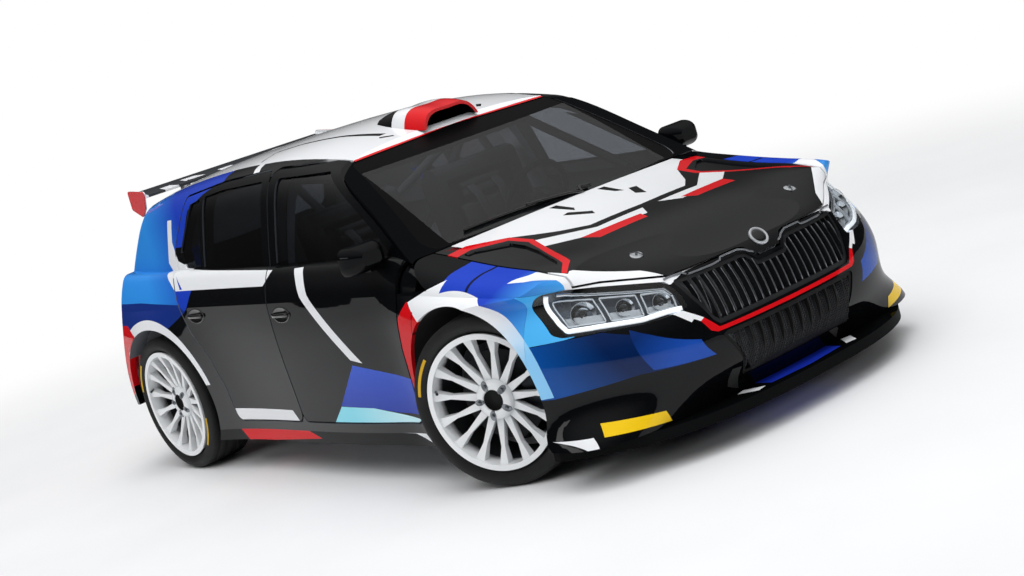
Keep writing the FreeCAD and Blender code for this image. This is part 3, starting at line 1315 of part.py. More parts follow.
def exhaust():
    """The rear silencer below the boot floor, with its tail pipe."""
    length, width, height = SILENCER_SIZE
    x1 = behind(REAR_BUMPER_FRONT_SHARE) + length / 2
    box = block(x1 - length, x1, EXHAUST_Y - width / 2, EXHAUST_Y + width / 2,
                BOOT_FLOOR_Z - height, BOOT_FLOOR_Z)
    z = EXHAUST_PIPE_Z
    start = x1 - length
    reach = start + HALF_LENGTH * PIPE_END_SHARE
    pipe = Part.makeCylinder(PIPE_RADIUS, reach, vec(start, EXHAUST_Y, z), -ALONG)
    bore = Part.makeCylinder(PIPE_RADIUS - PIPE_WALL, reach, vec(start, EXHAUST_Y, z), -ALONG)
    return solids_of(box.fuse(pipe).cut(bore))


# Inside: dashboard, steering wheel, seats and cage
DASH_SHARES = (
    (0.8402, 0.640), (0.760, 0.640), (0.690, 0.610), (0.690, 0.520), (0.740, 0.450), (0.8402, 0.440),
)
DASH_HALF_SHARE = 0.80
SEAT_Y = 345.0
SEAT_HALF = 235.0
SEAT_PLACE_SHARE = 0.512
SEAT_SIDE_SHARES = (
    (0.000, 0.163), (0.205, 0.163), (0.225, 0.310), (0.205, 0.345), (0.060, 0.300),
    (0.015, 0.420), (-0.020, 0.780),
    (-0.050, 0.790), (-0.075, 0.740), (-0.045, 0.420), (-0.020, 0.250),
)
SEAT_WELL_SHARES = (
    (0.240, 0.290), (0.110, 0.250), (0.040, 0.262), (0.000, 0.420), (-0.035, 0.735),
    (0.100, 0.760), (0.260, 0.400),
)
SEAT_BOLSTER = 42.0


def seat():
    """The right bucket seat: one moulded shell with a well between its bolsters."""
    base = along(SEAT_PLACE_SHARE)

    def profile(shares, y, width):
        points = [vec(base + x * WHEELBASE, y, up(z)) for x, z in shares]
        return Part.Face(rounded(points, CORNER_RADIUS)).extrude(vec(0, width, 0))

    body_solid = profile(SEAT_SIDE_SHARES, -SEAT_Y - SEAT_HALF, 2 * SEAT_HALF)
    well = profile(SEAT_WELL_SHARES, -SEAT_Y - SEAT_HALF + SEAT_BOLSTER, 2 * (SEAT_HALF - SEAT_BOLSTER))
    return solids_of(body_solid.cut(well))


def dashboard():
    """The dashboard, against the bulkhead and between the front pillars."""
    points = [vec(along(x), -HALF_WIDTH, up(z)) for x, z in DASH_SHARES]
    solid = Part.Face(rounded(points, CORNER_RADIUS)).extrude(vec(0, BODY_WIDTH, 0))
    half = out(DASH_HALF_SHARE)
    room = block(0, along(BULKHEAD_SHARE) - FLOOR_THICKNESS, -half, half, 0, ROOF_HEIGHT)
    solid = solid.common(room)
    solid = solid.common(core(lower_core, SIDE_WALL))
    return solids_of(solid.cut([cage_solid(), mirrored(cage_solid())]))


STEERING_RADIUS = 170.0
STEERING_GRIP = 14.0
STEERING_TILT_DEG = 24.0
STEERING_HUB_SHARE = 2.4
STEERING_BAR_SHARE = 0.8
STEERING_COLUMN_SHARE = 1.6
STEERING_PLACE_SHARE = 0.640
STEERING_HEIGHT_SHARE = 0.610


def steering_wheel():
    """The steering wheel with three spokes and its column, on the left."""
    rimring = Part.makeTorus(STEERING_RADIUS, STEERING_GRIP)
    hub_radius, bar_radius, column_radius = (
        share * STEERING_GRIP for share in (STEERING_HUB_SHARE, STEERING_BAR_SHARE, STEERING_COLUMN_SHARE)
    )
    hub = Part.makeCylinder(hub_radius, STEERING_GRIP * 2, vec(0, 0, -STEERING_GRIP), UP)
    ends = [
        vec(STEERING_RADIUS * math.cos(a), STEERING_RADIUS * math.sin(a), 0)
        for a in (0, math.pi / 2, -math.pi / 2)
    ]
    bars = [tube([CENTRE, end], bar_radius) for end in ends]
    column = Part.makeCylinder(column_radius, STEERING_RADIUS * 2, CENTRE, UP)
    whole = fused([rimring, hub, column] + bars)
    whole.rotate(CENTRE, ACROSS, 90 + STEERING_TILT_DEG)
    whole.translate(vec(along(STEERING_PLACE_SHARE), SEAT_Y, up(STEERING_HEIGHT_SHARE)))
    points = [vec(along(x), 0, up(z)) for x, z in DASH_SHARES]
    dash = Part.Face(rounded(points, CORNER_RADIUS)).extrude(vec(0, BODY_WIDTH, 0))
    return solids_of(whole.cut(dash))


# The cage: places along the cabin, across and up of its joints
HOOP_SHARE = 0.420
HOOP_TOP_SHARE = 0.900
HOOP_TOP_OUT_SHARE = 0.560
HOOP_OUT_SHARE = 0.740
ELBOW_SHARE = 0.600
HEADER_SHARES = (0.600, 0.520, 0.868)
DASH_TOP_SHARES = (0.790, 0.640, 0.640)
FRONT_LEG_SHARES = (0.800, 0.700)
STAY_FOOT_SHARES = (0.050, 0.520)
DOOR_BAR_SHARES = (0.795, 0.690)
DOOR_BAR_LEVEL_SHARES = ((0.420, 0.300), (0.250, 0.420))
HARNESS_BAR_SHARE = 0.480
CAGE_FOOT = SILL_Z + FLOOR_THICKNESS


def right_place(x_share, y_share, z_share):
    """A point of the right side from shares along the cabin, across and up."""
    return vec(along(x_share), -out(y_share), up(z_share))


def cage_solid():
    """The right half of the roll cage."""
    hoop_x = along(HOOP_SHARE)
    hoop_y = -out(HOOP_OUT_SHARE)
    shoulder = right_place(HOOP_SHARE, HOOP_TOP_OUT_SHARE, HOOP_TOP_SHARE)
    elbow = vec(hoop_x, hoop_y, up(ELBOW_SHARE))
    foot = vec(hoop_x, hoop_y, CAGE_FOOT)
    header = right_place(*HEADER_SHARES)
    dash_top = right_place(*DASH_TOP_SHARES)
    front_foot = vec(along(FRONT_LEG_SHARES[0]), -out(FRONT_LEG_SHARES[1]), CAGE_FOOT)
    stay_foot = vec(along(STAY_FOOT_SHARES[0]), -out(STAY_FOOT_SHARES[1]), BOOT_FLOOR_Z + FLOOR_THICKNESS)
    runs = [
        [foot, elbow, shoulder, header, dash_top, front_foot],
        [shoulder, stay_foot],
        [vec(hoop_x, 0, shoulder.z), shoulder],
        [vec(header.x, 0, header.z), header],
    ]
    for rear_share, front_share in DOOR_BAR_LEVEL_SHARES:
        runs.append([vec(hoop_x, hoop_y, up(rear_share)), right_place(*DOOR_BAR_SHARES, front_share)])
    runs.append([vec(hoop_x, 0, up(HARNESS_BAR_SHARE)), elbow])
    return fused([tube(run, CAGE_RADIUS) for run in runs])


def roll_cage():
    """The roll cage: main hoop, front legs, roof bars, door bars and rear stays."""
    right = cage_solid()
    top = right_place(HOOP_SHARE, HOOP_TOP_OUT_SHARE, HOOP_TOP_SHARE)
    foot = vec(along(STAY_FOOT_SHARES[0]), out(STAY_FOOT_SHARES[1]), BOOT_FLOOR_Z + FLOOR_THICKNESS)
    brace = tube([top, foot], CAGE_RADIUS)
    whole = fused([right, mirrored(right), brace, mirrored(brace)])
    below = block(-HALF_LENGTH, HALF_LENGTH, -HALF_WIDTH, HALF_WIDTH, 0, CAGE_FOOT)
    boot = block(-HALF_LENGTH, along(BOOT_STEP_SHARE), -HALF_WIDTH, HALF_WIDTH,
                 0, BOOT_FLOOR_Z + FLOOR_THICKNESS)
    return solids_of(whole.cut([below, boot]))


MIRROR_SHARES = ((0.0, 1.0), (0.55, 0.86), (1.0, 0.45))
MIRROR_SIZE = (95.0, 190.0, 115.0)
MIRROR_PLACE_SHARES = (0.800, 0.955, 0.676)
MIRROR_FOOT_SHARES = (0.6, 0.80)


def mirror():
    """The right door mirror: a rounded housing on a foot that meets the door."""
    length, width, height = MIRROR_SIZE
    x = along(MIRROR_PLACE_SHARES[0])
    y = -out(MIRROR_PLACE_SHARES[1])
    z = up(MIRROR_PLACE_SHARES[2])
    faces = []
    for share, size in MIRROR_SHARES:
        points = [vec(x + share * length, y + sy * width / 2 * size, z + sz * height / 2 * size)
                  for sy, sz in ((-1, -1), (1, -1), (1, 1), (-1, 1))]
        faces.append(rounded(points, height * size / 3))
    housing = Part.makeLoft(faces, True, False)
    foot_length, foot_out = MIRROR_FOOT_SHARES
    foot = block(x, x + length * foot_length, y, -out(foot_out), z - height / 2, z - height / 4)
    whole = housing.fuse(foot)
    return solids_of(whole.cut([core(lower_core, 0), core(cabin_core, 0)]))


SIDE_NAMES = ((-1, "right"), (1, "left"))


def keep(name, shape):
    """Write one named piece."""
    shape.exportStep("parts/%s.step" % name)


def keep_pair(name, right):
    """Write a piece of the right side and its mirror image."""
    keep(name + "_right", right)
    keep(name + "_left", mirrored(right))


def main():
    """Make every piece."""
    os.makedirs("parts", exist_ok=True)
    singles = [
        ("roof_panel", roof_panel), ("windscreen", windscreen), ("floor_pan", floor_pan), ("cowl", cowl),
        ("front_wings", lambda: both_sides(front_wing())), ("bonnet", bonnet),
        ("front_bumper", front_bumper),
        ("front_liners", lambda: both_sides(front_liner())),
        ("side_skirts", lambda: both_sides(side_skirt())),
        ("headlamps", lambda: both_sides(headlamp())), ("splitter", splitter),
        ("upper_grille", lambda: grille(UPPER_GRILLE_SHARES, SLAT_COUNT)),
        ("lower_grille", lambda: grille(LOWER_GRILLE_SHARES, BAR_COUNT)),
        ("tailgate", tailgate), ("tailgate_glass", tailgate_glass), ("rear_bumper", rear_bumper),
        ("tail_lamps", lambda: both_sides(tail_lamp())), ("roof_vent", roof_vent), ("rear_wing", rear_wing),
        ("engine", engine), ("front_suspension", front_suspension), ("rear_suspension", rear_suspension),
        ("driveshafts", driveshafts), ("exhaust", exhaust), ("seats", lambda: both_sides(seat())),
        ("dashboard", dashboard), ("steering_wheel", steering_wheel), ("roll_cage", roll_cage),
    ]
    for name, maker in singles:
        keep(name, maker())
    pairs = [
        ("body_side", body_side), ("mirror", mirror),
        ("front_door", lambda: door(FRONT_DOOR_SHARES, [FRONT_WINDOW_SHARES])),
        ("rear_door", lambda: door(REAR_DOOR_SHARES, [REAR_WINDOW_SHARES, QUARTER_WINDOW_SHARES])),
        ("front_door_glass", lambda: glass([FRONT_WINDOW_SHARES])),
        ("rear_door_glass", lambda: glass([REAR_WINDOW_SHARES, QUARTER_WINDOW_SHARES])),
    ]
    for name, maker in pairs:
        keep_pair(name, maker())
    tyre_shape = tyre()
    wheel_shape = Part.makeCompound([rim(), brake_disc()])
    knuckle_shape = solids_of(knuckle())
    for side, word in SIDE_NAMES:
        for end, x in (("front", FRONT_AXLE_X), ("rear", REAR_AXLE_X)):
            for kind, shape in (("tyre", tyre_shape), ("rim", wheel_shape)):
                placed = set_wheel(shape, x, side)
                if end == "front":
                    placed = steered(placed, side)
                keep("%s_%s_%s" % (kind, end, word), placed)
        keep("knuckle_" + word, steered(set_wheel(knuckle_shape, FRONT_AXLE_X, side), side))


if __name__ == "__main__":
    main()
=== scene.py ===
"""Looks of a five-door rally car: lacquer with its stripes, glass, lamps, tyres, trim and a pale studio.

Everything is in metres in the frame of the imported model: +X forwards, +Y to the car's left, +Z up.
Only the corners of the painted panels are written in millimetres.
"""

import json
import logging
import math
from dataclasses import dataclass
from enum import Enum
from functools import partial, reduce

import bpy
import numpy as np
from mathutils import Matrix, Vector
from mathutils.bvhtree import BVHTree
from mathutils.geometry import tessellate_polygon

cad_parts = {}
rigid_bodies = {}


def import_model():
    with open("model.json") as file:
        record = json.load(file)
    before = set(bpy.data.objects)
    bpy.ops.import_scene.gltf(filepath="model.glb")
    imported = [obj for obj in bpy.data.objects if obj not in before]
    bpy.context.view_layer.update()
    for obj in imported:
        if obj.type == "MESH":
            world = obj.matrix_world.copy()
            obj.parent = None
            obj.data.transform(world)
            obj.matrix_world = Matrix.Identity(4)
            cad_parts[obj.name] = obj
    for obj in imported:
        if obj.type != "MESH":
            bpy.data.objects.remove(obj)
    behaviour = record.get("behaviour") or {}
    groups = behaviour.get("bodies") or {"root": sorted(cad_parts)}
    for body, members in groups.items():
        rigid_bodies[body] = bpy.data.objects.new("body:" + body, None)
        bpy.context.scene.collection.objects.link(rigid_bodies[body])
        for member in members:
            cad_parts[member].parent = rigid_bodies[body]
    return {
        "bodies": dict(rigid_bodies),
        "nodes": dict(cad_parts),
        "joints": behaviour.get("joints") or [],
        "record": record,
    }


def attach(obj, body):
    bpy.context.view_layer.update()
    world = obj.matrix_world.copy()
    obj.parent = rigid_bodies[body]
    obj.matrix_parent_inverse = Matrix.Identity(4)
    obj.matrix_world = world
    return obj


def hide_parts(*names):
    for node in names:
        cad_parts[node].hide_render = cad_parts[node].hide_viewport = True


LOG = logging.getLogger("rally_car")

Form = tuple[np.ndarray, list]
Pair = tuple[float, float]
Pairs = tuple[Pair, ...]
Point = tuple[float, float, float]
Material = bpy.types.Material
Socket = bpy.types.NodeSocket
Tree = bpy.types.NodeTree

FRONT_AXLE_X = 1.143
REAR_AXLE_X = -1.327
AXLE_Z = 0.330
TRACK = 1.543
SCRUB = 0.0715
STEER_REST = math.radians(22.3)
ENDS = ("front", "rear")
SIDES = {"right": -1.0, "left": 1.0}
UP = np.array([0.0, 0.0, 1.0])
AHEAD = np.array([1.0, 0.0, 0.0])


# ---------------------------------------------------------------- colours and nodes

def linear(colour: str) -> tuple[float, float, float, float]:
    """Turns an sRGB hex colour into linear red, green, blue and alpha."""
    parts = [int(colour[i:i + 2], 16) / 255 for i in (1, 3, 5)]
    return tuple(c / 12.92 if c <= 0.04045 else ((c + 0.055) / 1.055) ** 2.4 for c in parts) + (1.0,)


def put(tree: Tree, kind: str, inputs: dict | tuple = (), **settings) -> bpy.types.bpy_prop_collection:
    """Adds a shader node with its settings and links.

    Args:
        tree: the node tree.
        kind: the node's type name after "ShaderNode".
        inputs: values or other nodes' outputs, in order or by the socket's name or number.
        settings: attributes of the node.

    Returns:
        The node's outputs.
    """
    node = tree.nodes.new("ShaderNode" + kind)
    for name, value in settings.items():
        setattr(node, name, value)
    for name, value in inputs.items() if isinstance(inputs, dict) else enumerate(inputs):
        if isinstance(value, Socket):
            tree.links.new(value, node.inputs[name])
        else:
            node.inputs[name].default_value = value
    return node.outputs


def fresh(name: str) -> tuple[Material, Tree]:
    """A new material and its empty node tree."""
    mat = bpy.data.materials.new(name)
    mat.use_nodes = True
    mat.node_tree.nodes.clear()
    return mat, mat.node_tree


class View(Enum):
    """The direction from which a panel of colour is laid on: the two coordinates that it uses."""

    SIDE = (0, 2)
    TOP = (0, 1)
    FRONT = (1, 2)

    def vector(self, pair: Pair) -> Point:
        """Puts this view's two coordinates into a vector of three."""
        out = [0.0, 0.0, 0.0]
        out[self.value[0]], out[self.value[1]] = map(float, pair)
        return tuple(out)


@dataclass(frozen=True)
class Fade:
    """A second colour, and the two places between which the first turns into it."""

    colour: str
    start: Pair
    end: Pair


@dataclass(frozen=True)
class Patch:
    """A panel of one colour, its corners in order round it, mirrored on both sides of the car.

    One with a centre is only the band round that wheel's arch, between two radii.
    """

    view: View
    colour: str
    corners: Pairs
    fade: Fade | None = None
    centre: Pair | None = None
    band: Pair = (0.300, 0.425)


def pairs(numbers: tuple[int, ...]) -> Pairs:
    """Pairs of metres from coordinates in millimetres, one after another."""
    return tuple((a / 1000, b / 1000) for a, b in zip(numbers[::2], numbers[1::2]))


def panel(view: View, colour: str, *numbers: int, fade: tuple | None = None,
          centre: Pair | None = None) -> Patch:
    """A patch from plain numbers.

    Args:
        view: the direction from which it is laid on.
        colour: its colour.
        numbers: its corners' coordinates in millimetres, one after another.
        fade: the second colour, then the two places between which the first turns into it.
        centre: the wheel's centre, where it is a band round an arch.

    Returns:
        The patch.
    """
    return Patch(view, colour, pairs(numbers), fade and Fade(fade[0], *pairs(fade[1:])), centre)


side, top, front = (partial(panel, view) for view in View)


class Mask:
    """Builds the masks of patches on one material's coordinates, with the car's two sides alike."""

    EDGE = -2e-5
    STRAIGHT = 1e-7
    INNER_WEIGHTS = (0.25, 1.0, 1.0)
    INNER_LINE = (0.0, 0.0, -0.45)
    INNER_LIMIT = -0.03

    def __init__(self, tree: Tree) -> None:
        """Folds the right half of the Object coordinates onto the left."""
        self.tree = tree
        self.raw = put(tree, "TexCoord")["Object"]
        split = put(tree, "SeparateXYZ", (self.raw,))
        fold = put(tree, "Math", (split[1],), operation="ABSOLUTE")[0]
        self.point = put(tree, "CombineXYZ", (split[0], fold, split[2]))[0]

    def joined(self, operation: str, sockets: list[Socket]) -> Socket:
        """One socket from several, taken two at a time."""
        return reduce(lambda a, b: put(self.tree, "Math", (a, b), operation=operation)[0], sockets)

    def dot(self, vector: Point) -> Socket:
        """How far a point lies along a direction."""
        return put(self.tree, "VectorMath", (self.point, vector), operation="DOT_PRODUCT")["Value"]

    def convex(self, view: View, corners: Pairs) -> Socket:
        """How far a point lies inside a convex outline: the least of its distances from the edges."""
        middle = np.mean(corners, axis=0)
        distances = []
        for a, b in zip(corners, corners[1:] + corners[:1]):
            edge = np.subtract(b, a)
            normal = np.array([-edge[1], edge[0]]) / np.hypot(*edge)
            if normal @ (middle - a) < 0:
                normal = -normal
            distances.append(put(self.tree, "Math", (self.dot(view.vector(normal)), float(normal @ a)),
                                 operation="SUBTRACT")[0])
        return self.joined("MINIMUM", distances)

    def inner(self) -> Socket:
        """One on a panel's inner side: there the surface faces a line along the car's middle."""
        away = put(self.tree, "VectorMath", (self.raw, self.INNER_WEIGHTS, self.INNER_LINE),
                   operation="MULTIPLY_ADD")[0]
        facing = put(self.tree, "TexCoord")["Normal"]
        out = put(self.tree, "VectorMath", (facing, away), operation="DOT_PRODUCT")["Value"]
        return put(self.tree, "Math", (out, self.INNER_LIMIT), operation="LESS_THAN")[0]

    def outline(self, view: View, corners: Pairs) -> Socket:
        """How far a point lies inside any outline: one with a dent is the most of its triangles."""
        edges = np.roll(corners, -1, 0) - np.array(corners)
        after = np.roll(edges, -1, 0)
        turns = edges[:, 0] * after[:, 1] - edges[:, 1] * after[:, 0]
        if turns.min() > -self.STRAIGHT or turns.max() < self.STRAIGHT:
            return self.convex(view, corners)
        triangles = tessellate_polygon([[(*corner, 0.0) for corner in corners]])
        return self.joined("MAXIMUM", [self.convex(view, tuple(corners[i] for i in three))
                                       for three in triangles])

    def of(self, patch: Patch) -> Socket:
        """One inside a patch and nought outside."""
        inside = self.outline(patch.view, patch.corners)
        if patch.centre:
            flat = put(self.tree, "VectorMath", (self.point, (1.0, 0.0, 1.0)), operation="MULTIPLY")[0]
            radius = put(self.tree, "VectorMath", (flat, patch.view.vector(patch.centre)),
                         operation="DISTANCE")["Value"]
            least, most = patch.band
            inside = self.joined("MINIMUM", [
                inside,
                put(self.tree, "Math", (radius, least), operation="SUBTRACT")[0],
                put(self.tree, "Math", (most, radius), operation="SUBTRACT")[0]])
        return put(self.tree, "Math", (inside, self.EDGE), operation="GREATER_THAN")[0]

    def colour(self, patch: Patch) -> Socket | tuple:
        """A patch's colour, faded along a straight line where it has a second colour."""
        if patch.fade is None:
            return linear(patch.colour)
        a, b = np.array(patch.fade.start), np.array(patch.fade.end)
        way = (b - a) / ((b - a) @ (b - a))
        share = put(self.tree, "Math", (self.dot(patch.view.vector(way)), float(way @ a)),
                    operation="SUBTRACT", use_clamp=True)[0]
        return put(self.tree, "Mix", {0: share, 6: linear(patch.colour), 7: linear(patch.fade.colour)},
                   data_type="RGBA")[2]


# ---------------------------------------------------------------- finishes

@dataclass(frozen=True)
class Lacquer:
    """Car lacquer, sprayed in a base colour with vinyl panels, under one clear coat.

    The eye sees a deep, mirror-like gloss with a faint orange-peel ripple: waves about 5 mm long and a
    few hundredths of a millimetre high.
    """

    name: str
    base: str
    patches: tuple[Patch, ...] = ()
    roughness: float = 0.32
    coat: float = 1.0
    shine: float = 0.0
    dull: tuple[Patch, ...] = ()
    inside: str | None = None
    peel: float = 0.005
    blotch: float = 0.080
    dull_coat: float = 0.08
    inner_coat: float = 0.1

    def build(self) -> Material:
        """Builds the material."""
        mat, tree = fresh(self.name)
        mask = Mask(tree)
        colour: Socket | tuple = linear(self.base)
        for patch in self.patches:
            colour = put(tree, "Mix", {0: mask.of(patch), 6: colour, 7: mask.colour(patch)},
                         data_type="RGBA")[2]
        peel = put(tree, "TexNoise", {"Vector": mask.raw, "Scale": 1 / self.peel, "Detail": 1.0})[0]
        blotch = put(tree, "TexNoise", {"Vector": mask.raw, "Scale": 1 / self.blotch, "Detail": 3.0})[0]
        rough = put(tree, "MapRange", (blotch, 0.35, 0.75, self.roughness - 0.04, self.roughness + 0.06))[0]
        bump = put(tree, "Bump", {"Height": peel, "Strength": 0.04, "Distance": 0.0004})[0]
        coat: Socket | float = self.coat
        for patch in self.dull:
            coat = put(tree, "Mix", {0: mask.of(patch), 2: coat, 3: self.dull_coat}, data_type="FLOAT")[0]
        if self.inside:
            inner = mask.inner()
            colour = put(tree, "Mix", {0: inner, 6: colour, 7: linear(self.inside)}, data_type="RGBA")[2]
            coat = put(tree, "Mix", {0: inner, 2: coat, 3: self.inner_coat}, data_type="FLOAT")[0]
        shader = put(tree, "BsdfPrincipled", {
            "Base Color": colour, "Roughness": rough, "Coat Weight": coat, "Coat Roughness": 0.03,
            "Coat Normal": bump, "Coat IOR": 1.45, "Specular IOR Level": self.shine})
        put(tree, "OutputMaterial", (shader[0],))
        return mat


@dataclass(frozen=True)
class Plain:
    """A material of one colour with a fine surface grain.

    The grain is a noise whose size is given in millimetres, and it varies height. A wider cloud varies
    roughness, and turns the colour into a second one where there is one.
    """

    name: str
    base: str
    second: str | None
    roughness: float
    grain_mm: float
    depth_mm: float
    metallic: float = 0.0
    coat: float = 0.0
    glow: float = 0.0
    cloud: float = 0.12

    def build(self) -> Material:
        """Builds the material."""
        mat, tree = fresh(self.name)
        where = put(tree, "TexCoord")["Object"]
        grain = put(tree, "TexNoise", {"Vector": where, "Scale": 1000 / self.grain_mm, "Detail": 2.0})[0]
        cloud = put(tree, "TexNoise", {"Vector": where, "Scale": 1 / self.cloud, "Detail": 3.0})[0]
        rough = put(tree, "MapRange", (cloud, 0.3, 0.7, max(0.0, self.roughness - 0.05),
                                       min(1.0, self.roughness + 0.08)))[0]
        colour = put(tree, "Mix", {0: cloud, 6: linear(self.base), 7: linear(self.second or self.base)},
                     data_type="RGBA")[2]
        bump = put(tree, "Bump", {"Height": grain, "Strength": 0.3, "Distance": self.depth_mm / 1000})[0]
        shader = put(tree, "BsdfPrincipled", {
            "Base Color": colour, "Roughness": rough, "Metallic": self.metallic, "Coat Weight": self.coat,
            "Coat Roughness": 0.05, "Normal": bump, "Emission Color": linear(self.base),
            "Emission Strength": self.glow})
        put(tree, "OutputMaterial", (shader[0],))
        return mat


@dataclass(frozen=True)
class Glass:
    """Safety glass, tinted in the melt, with a black printed border fired on: clear and glossy.

    Only the side that faces out is mirrored at a low angle, and a wave about 90 mm long bends it.
    """

    name: str
    tint: str
    prints: tuple[Patch, ...] = ()
    ripple_mm: float = 90.0
    ior: float = 1.58

    def build(self) -> Material:
        """Builds the material."""
        mat, tree = fresh(self.name)
        mask = Mask(tree)
        wave = put(tree, "TexNoise", {"Vector": mask.raw, "Scale": 1000 / self.ripple_mm, "Detail": 0.0})[0]
        bump = put(tree, "Bump", {"Height": wave, "Strength": 0.1, "Distance": 0.00015})[0]
        behind = put(tree, "NewGeometry")["Backfacing"]
        outer = put(tree, "Math", (1.0, behind), operation="SUBTRACT")[0]
        fresnel = put(tree, "Fresnel", {"IOR": self.ior, "Normal": bump})[0]
        facing = put(tree, "Math", (outer, fresnel), operation="MULTIPLY")[0]
        through = put(tree, "BsdfTransparent", (linear(self.tint),))
        gloss = put(tree, "BsdfPrincipled", {
            "Base Color": (1, 1, 1, 1), "Metallic": 1.0, "Roughness": 0.02, "Normal": bump})
        shader = put(tree, "MixShader", (facing, through[0], gloss[0]))
        for patch in self.prints:
            ink = put(tree, "BsdfPrincipled", {
                "Base Color": linear(patch.colour), "Roughness": 0.35, "Specular IOR Level": 0.05})
            shader = put(tree, "MixShader", (mask.of(patch), shader[0], ink[0]))
        put(tree, "OutputMaterial", (shader[0],))
        return mat


@dataclass(frozen=True)
class RimPaint:
    """White wheel lacquer, bright and glossy on the spokes' faces, and darker and rougher deeper in the
    barrel, where the darkening is painted shade.

    The painted shade grows with the distance inwards along the axle, and a fine noise breaks its edge.
    """

    name: str
    end: str
    side: str
    face: str = "#eceef0"
    # painted shade: the dark grey given to the spokes' sides and the barrel, which lie in shade
    shade_colour: str = "#222426"
    bright_offset: float = 0.066
    shaded_offset: float = 0.034
    speck: float = 0.012

    def build(self) -> Material:
        """Builds the material."""
        mat, tree = fresh(self.name)
        wheel = wheel_frame(self.end, self.side)
        where = put(tree, "TexCoord")["Object"]
        dot = put(tree, "VectorMath", (where, tuple(wheel.axle)), operation="DOT_PRODUCT")["Value"]
        blotch = put(tree, "TexNoise", {"Vector": where, "Scale": 1 / self.speck, "Detail": 4.0})[0]
        start = float(wheel.centre @ wheel.axle) + self.speck / 2
        offset = put(tree, "Math", (dot, start), operation="SUBTRACT")[0]
        broken = put(tree, "Math", (blotch, self.speck, offset), operation="MULTIPLY_ADD")[0]
        # painted shade: white on the spokes' faces, turning dark grey deeper in the barrel
        share = put(tree, "MapRange", (broken, self.bright_offset, self.shaded_offset))[0]
        colour = put(tree, "Mix", {0: share, 6: linear(self.face), 7: linear(self.shade_colour)},
                     data_type="RGBA")[2]
        rough = put(tree, "MapRange", {0: share, 3: 0.30, 4: 0.65})[0]
        coat = put(tree, "MapRange", {0: share, 3: 0.6, 4: 0.0})[0]
        shader = put(tree, "BsdfPrincipled", {
            "Base Color": colour, "Roughness": rough, "Coat Weight": coat, "Coat Roughness": 0.08,
            "Specular IOR Level": 0.3})
        put(tree, "OutputMaterial", (shader[0],))
        return mat


# ---------------------------------------------------------------- the car's colours and panels

BLACK, WHITE, RED = "#08090b", "#e9ebee", "#d3121a"
ROYAL, AZURE, NAVY = "#1d3fb8", "#2f8fe6", "#16307f"
INK = "#060607"
REAR_ARCH, FRONT_ARCH = (REAR_AXLE_X - 0.012, AXLE_Z), (FRONT_AXLE_X, AXLE_Z)

QUARTER = (
    side(ROYAL, -2200, 780, -620, 780, -620, 1500, -2200, 1500, fade=(AZURE, -1080, 1170, -1360, 950)),
    side(NAVY, -2200, 600, -2200, 842, -1400, 833, -1010, 806, -960, 771, -1150, 700),
    side(WHITE, -1200, 1175, -1150, 1175, -1146, 1077, -1198, 1050),
    side(WHITE, -1198, 1050, -1146, 1077, -990, 875, -1046, 875, -1195, 985),
    side(WHITE, -1900, 600, -1900, 1000, -800, 1000, -800, 420, -1200, 420, centre=REAR_ARCH),
    side(RED, -2200, 735, -1555, 735, -1475, 680, -1600, 600, -1720, 380, -2200, 380),
)
RAIL = (
    side(WHITE, -405, 1340, -366, 1340, -262, 1270, -315, 1270),
)
REAR_DOOR = (
    side(ROYAL, -1400, 1050, -1020, 1050, -955, 1205, -800, 1262, -620, 1305, -620, 1400, -1400, 1400),
    side(ROYAL, -1400, 775, -955, 775, -930, 793, -862, 878, -1400, 878),
    side(NAVY, -1400, 680, -1152, 700, -960, 771, -1010, 806, -1400, 820),
    side(WHITE, -1200, 872, -212, 847, -142, 905, -900, 945, -1200, 1020),
    side(ROYAL, -990, 872, -965, 872, -1085, 975, -1110, 965),
    side(WHITE, -1200, 1050, -1146, 1077, -990, 875, -1046, 875, -1195, 985),
    side(WHITE, -1900, 600, -1900, 1000, -800, 1000, -800, 420, -1200, 420, centre=REAR_ARCH),
    side(WHITE, -824, 300, -267, 293, -214, 222, -812, 243),
)
FRONT_DOOR = (
    side(WHITE, -1200, 872, -212, 847, -142, 905, -900, 945),
    side(WHITE, 38, 900, 108, 900, 157, 794, 97, 790),
    side(WHITE, 97, 790, 157, 794, 438, 498, 360, 514),
    side("#2a52c8", 362, 492, 900, 400, 900, 270, 566, 287, 411, 306, 170, 316,
         fade=("#1a3aa8", 500, 460, 500, 300)),
    side("#8fe3f5", 170, 314, 411, 306, 700, 262, 900, 200, 56, 226,
         fade=("#c8f2fa", 250, 250, 600, 250)),
)
SILL = (
    side(WHITE, -824, 300, -267, 293, -214, 216, -830, 238),
    side(RED, -829, 240, -219, 214, -76, 168, -740, 140),
    side("#8fe3f5", 170, 314, 411, 306, 700, 262, 900, 222, 56, 226),
    side("#c9ced4", -200, 214, -200, 219, 720, 204, 720, 197),
    side(WHITE, 620, 205, 720, 200, 760, 165),
)
WING = (
    side(ROYAL, 1100, 600, 1070, 735, 1085, 760, 1120, 900, 2100, 900, 2100, 300, 1400, 300,
         fade=("#4fb4f3", 1360, 700, 1540, 520)),
    side("#0a1236", 1228, 700, 1237, 800, 1252, 800, 1243, 700),
    side(WHITE, 800, 745, 1100, 800, 1900, 800, 1900, 50, 1000, 50,
         fade=("#8ccaf4", 1440, 660, 1530, 480), centre=FRONT_ARCH),
    side(WHITE, 886, 732, 1000, 766, 1105, 790, 1075, 735, 1000, 660, 945, 665),
    side(RED, 878, 735, 975, 640, 900, 500, 800, 200, 600, 200, 700, 600),
    side("#7c0d12", 918, 700, 925, 695, 812, 400, 806, 400),
)
WING_TOP = (
    top(WHITE, 1425, 795, 1468, 690, 1607, 664, 1600, 648, 1757, 469, 1860, 420, 1860, 460, 1625, 700,
        1500, 775),
)
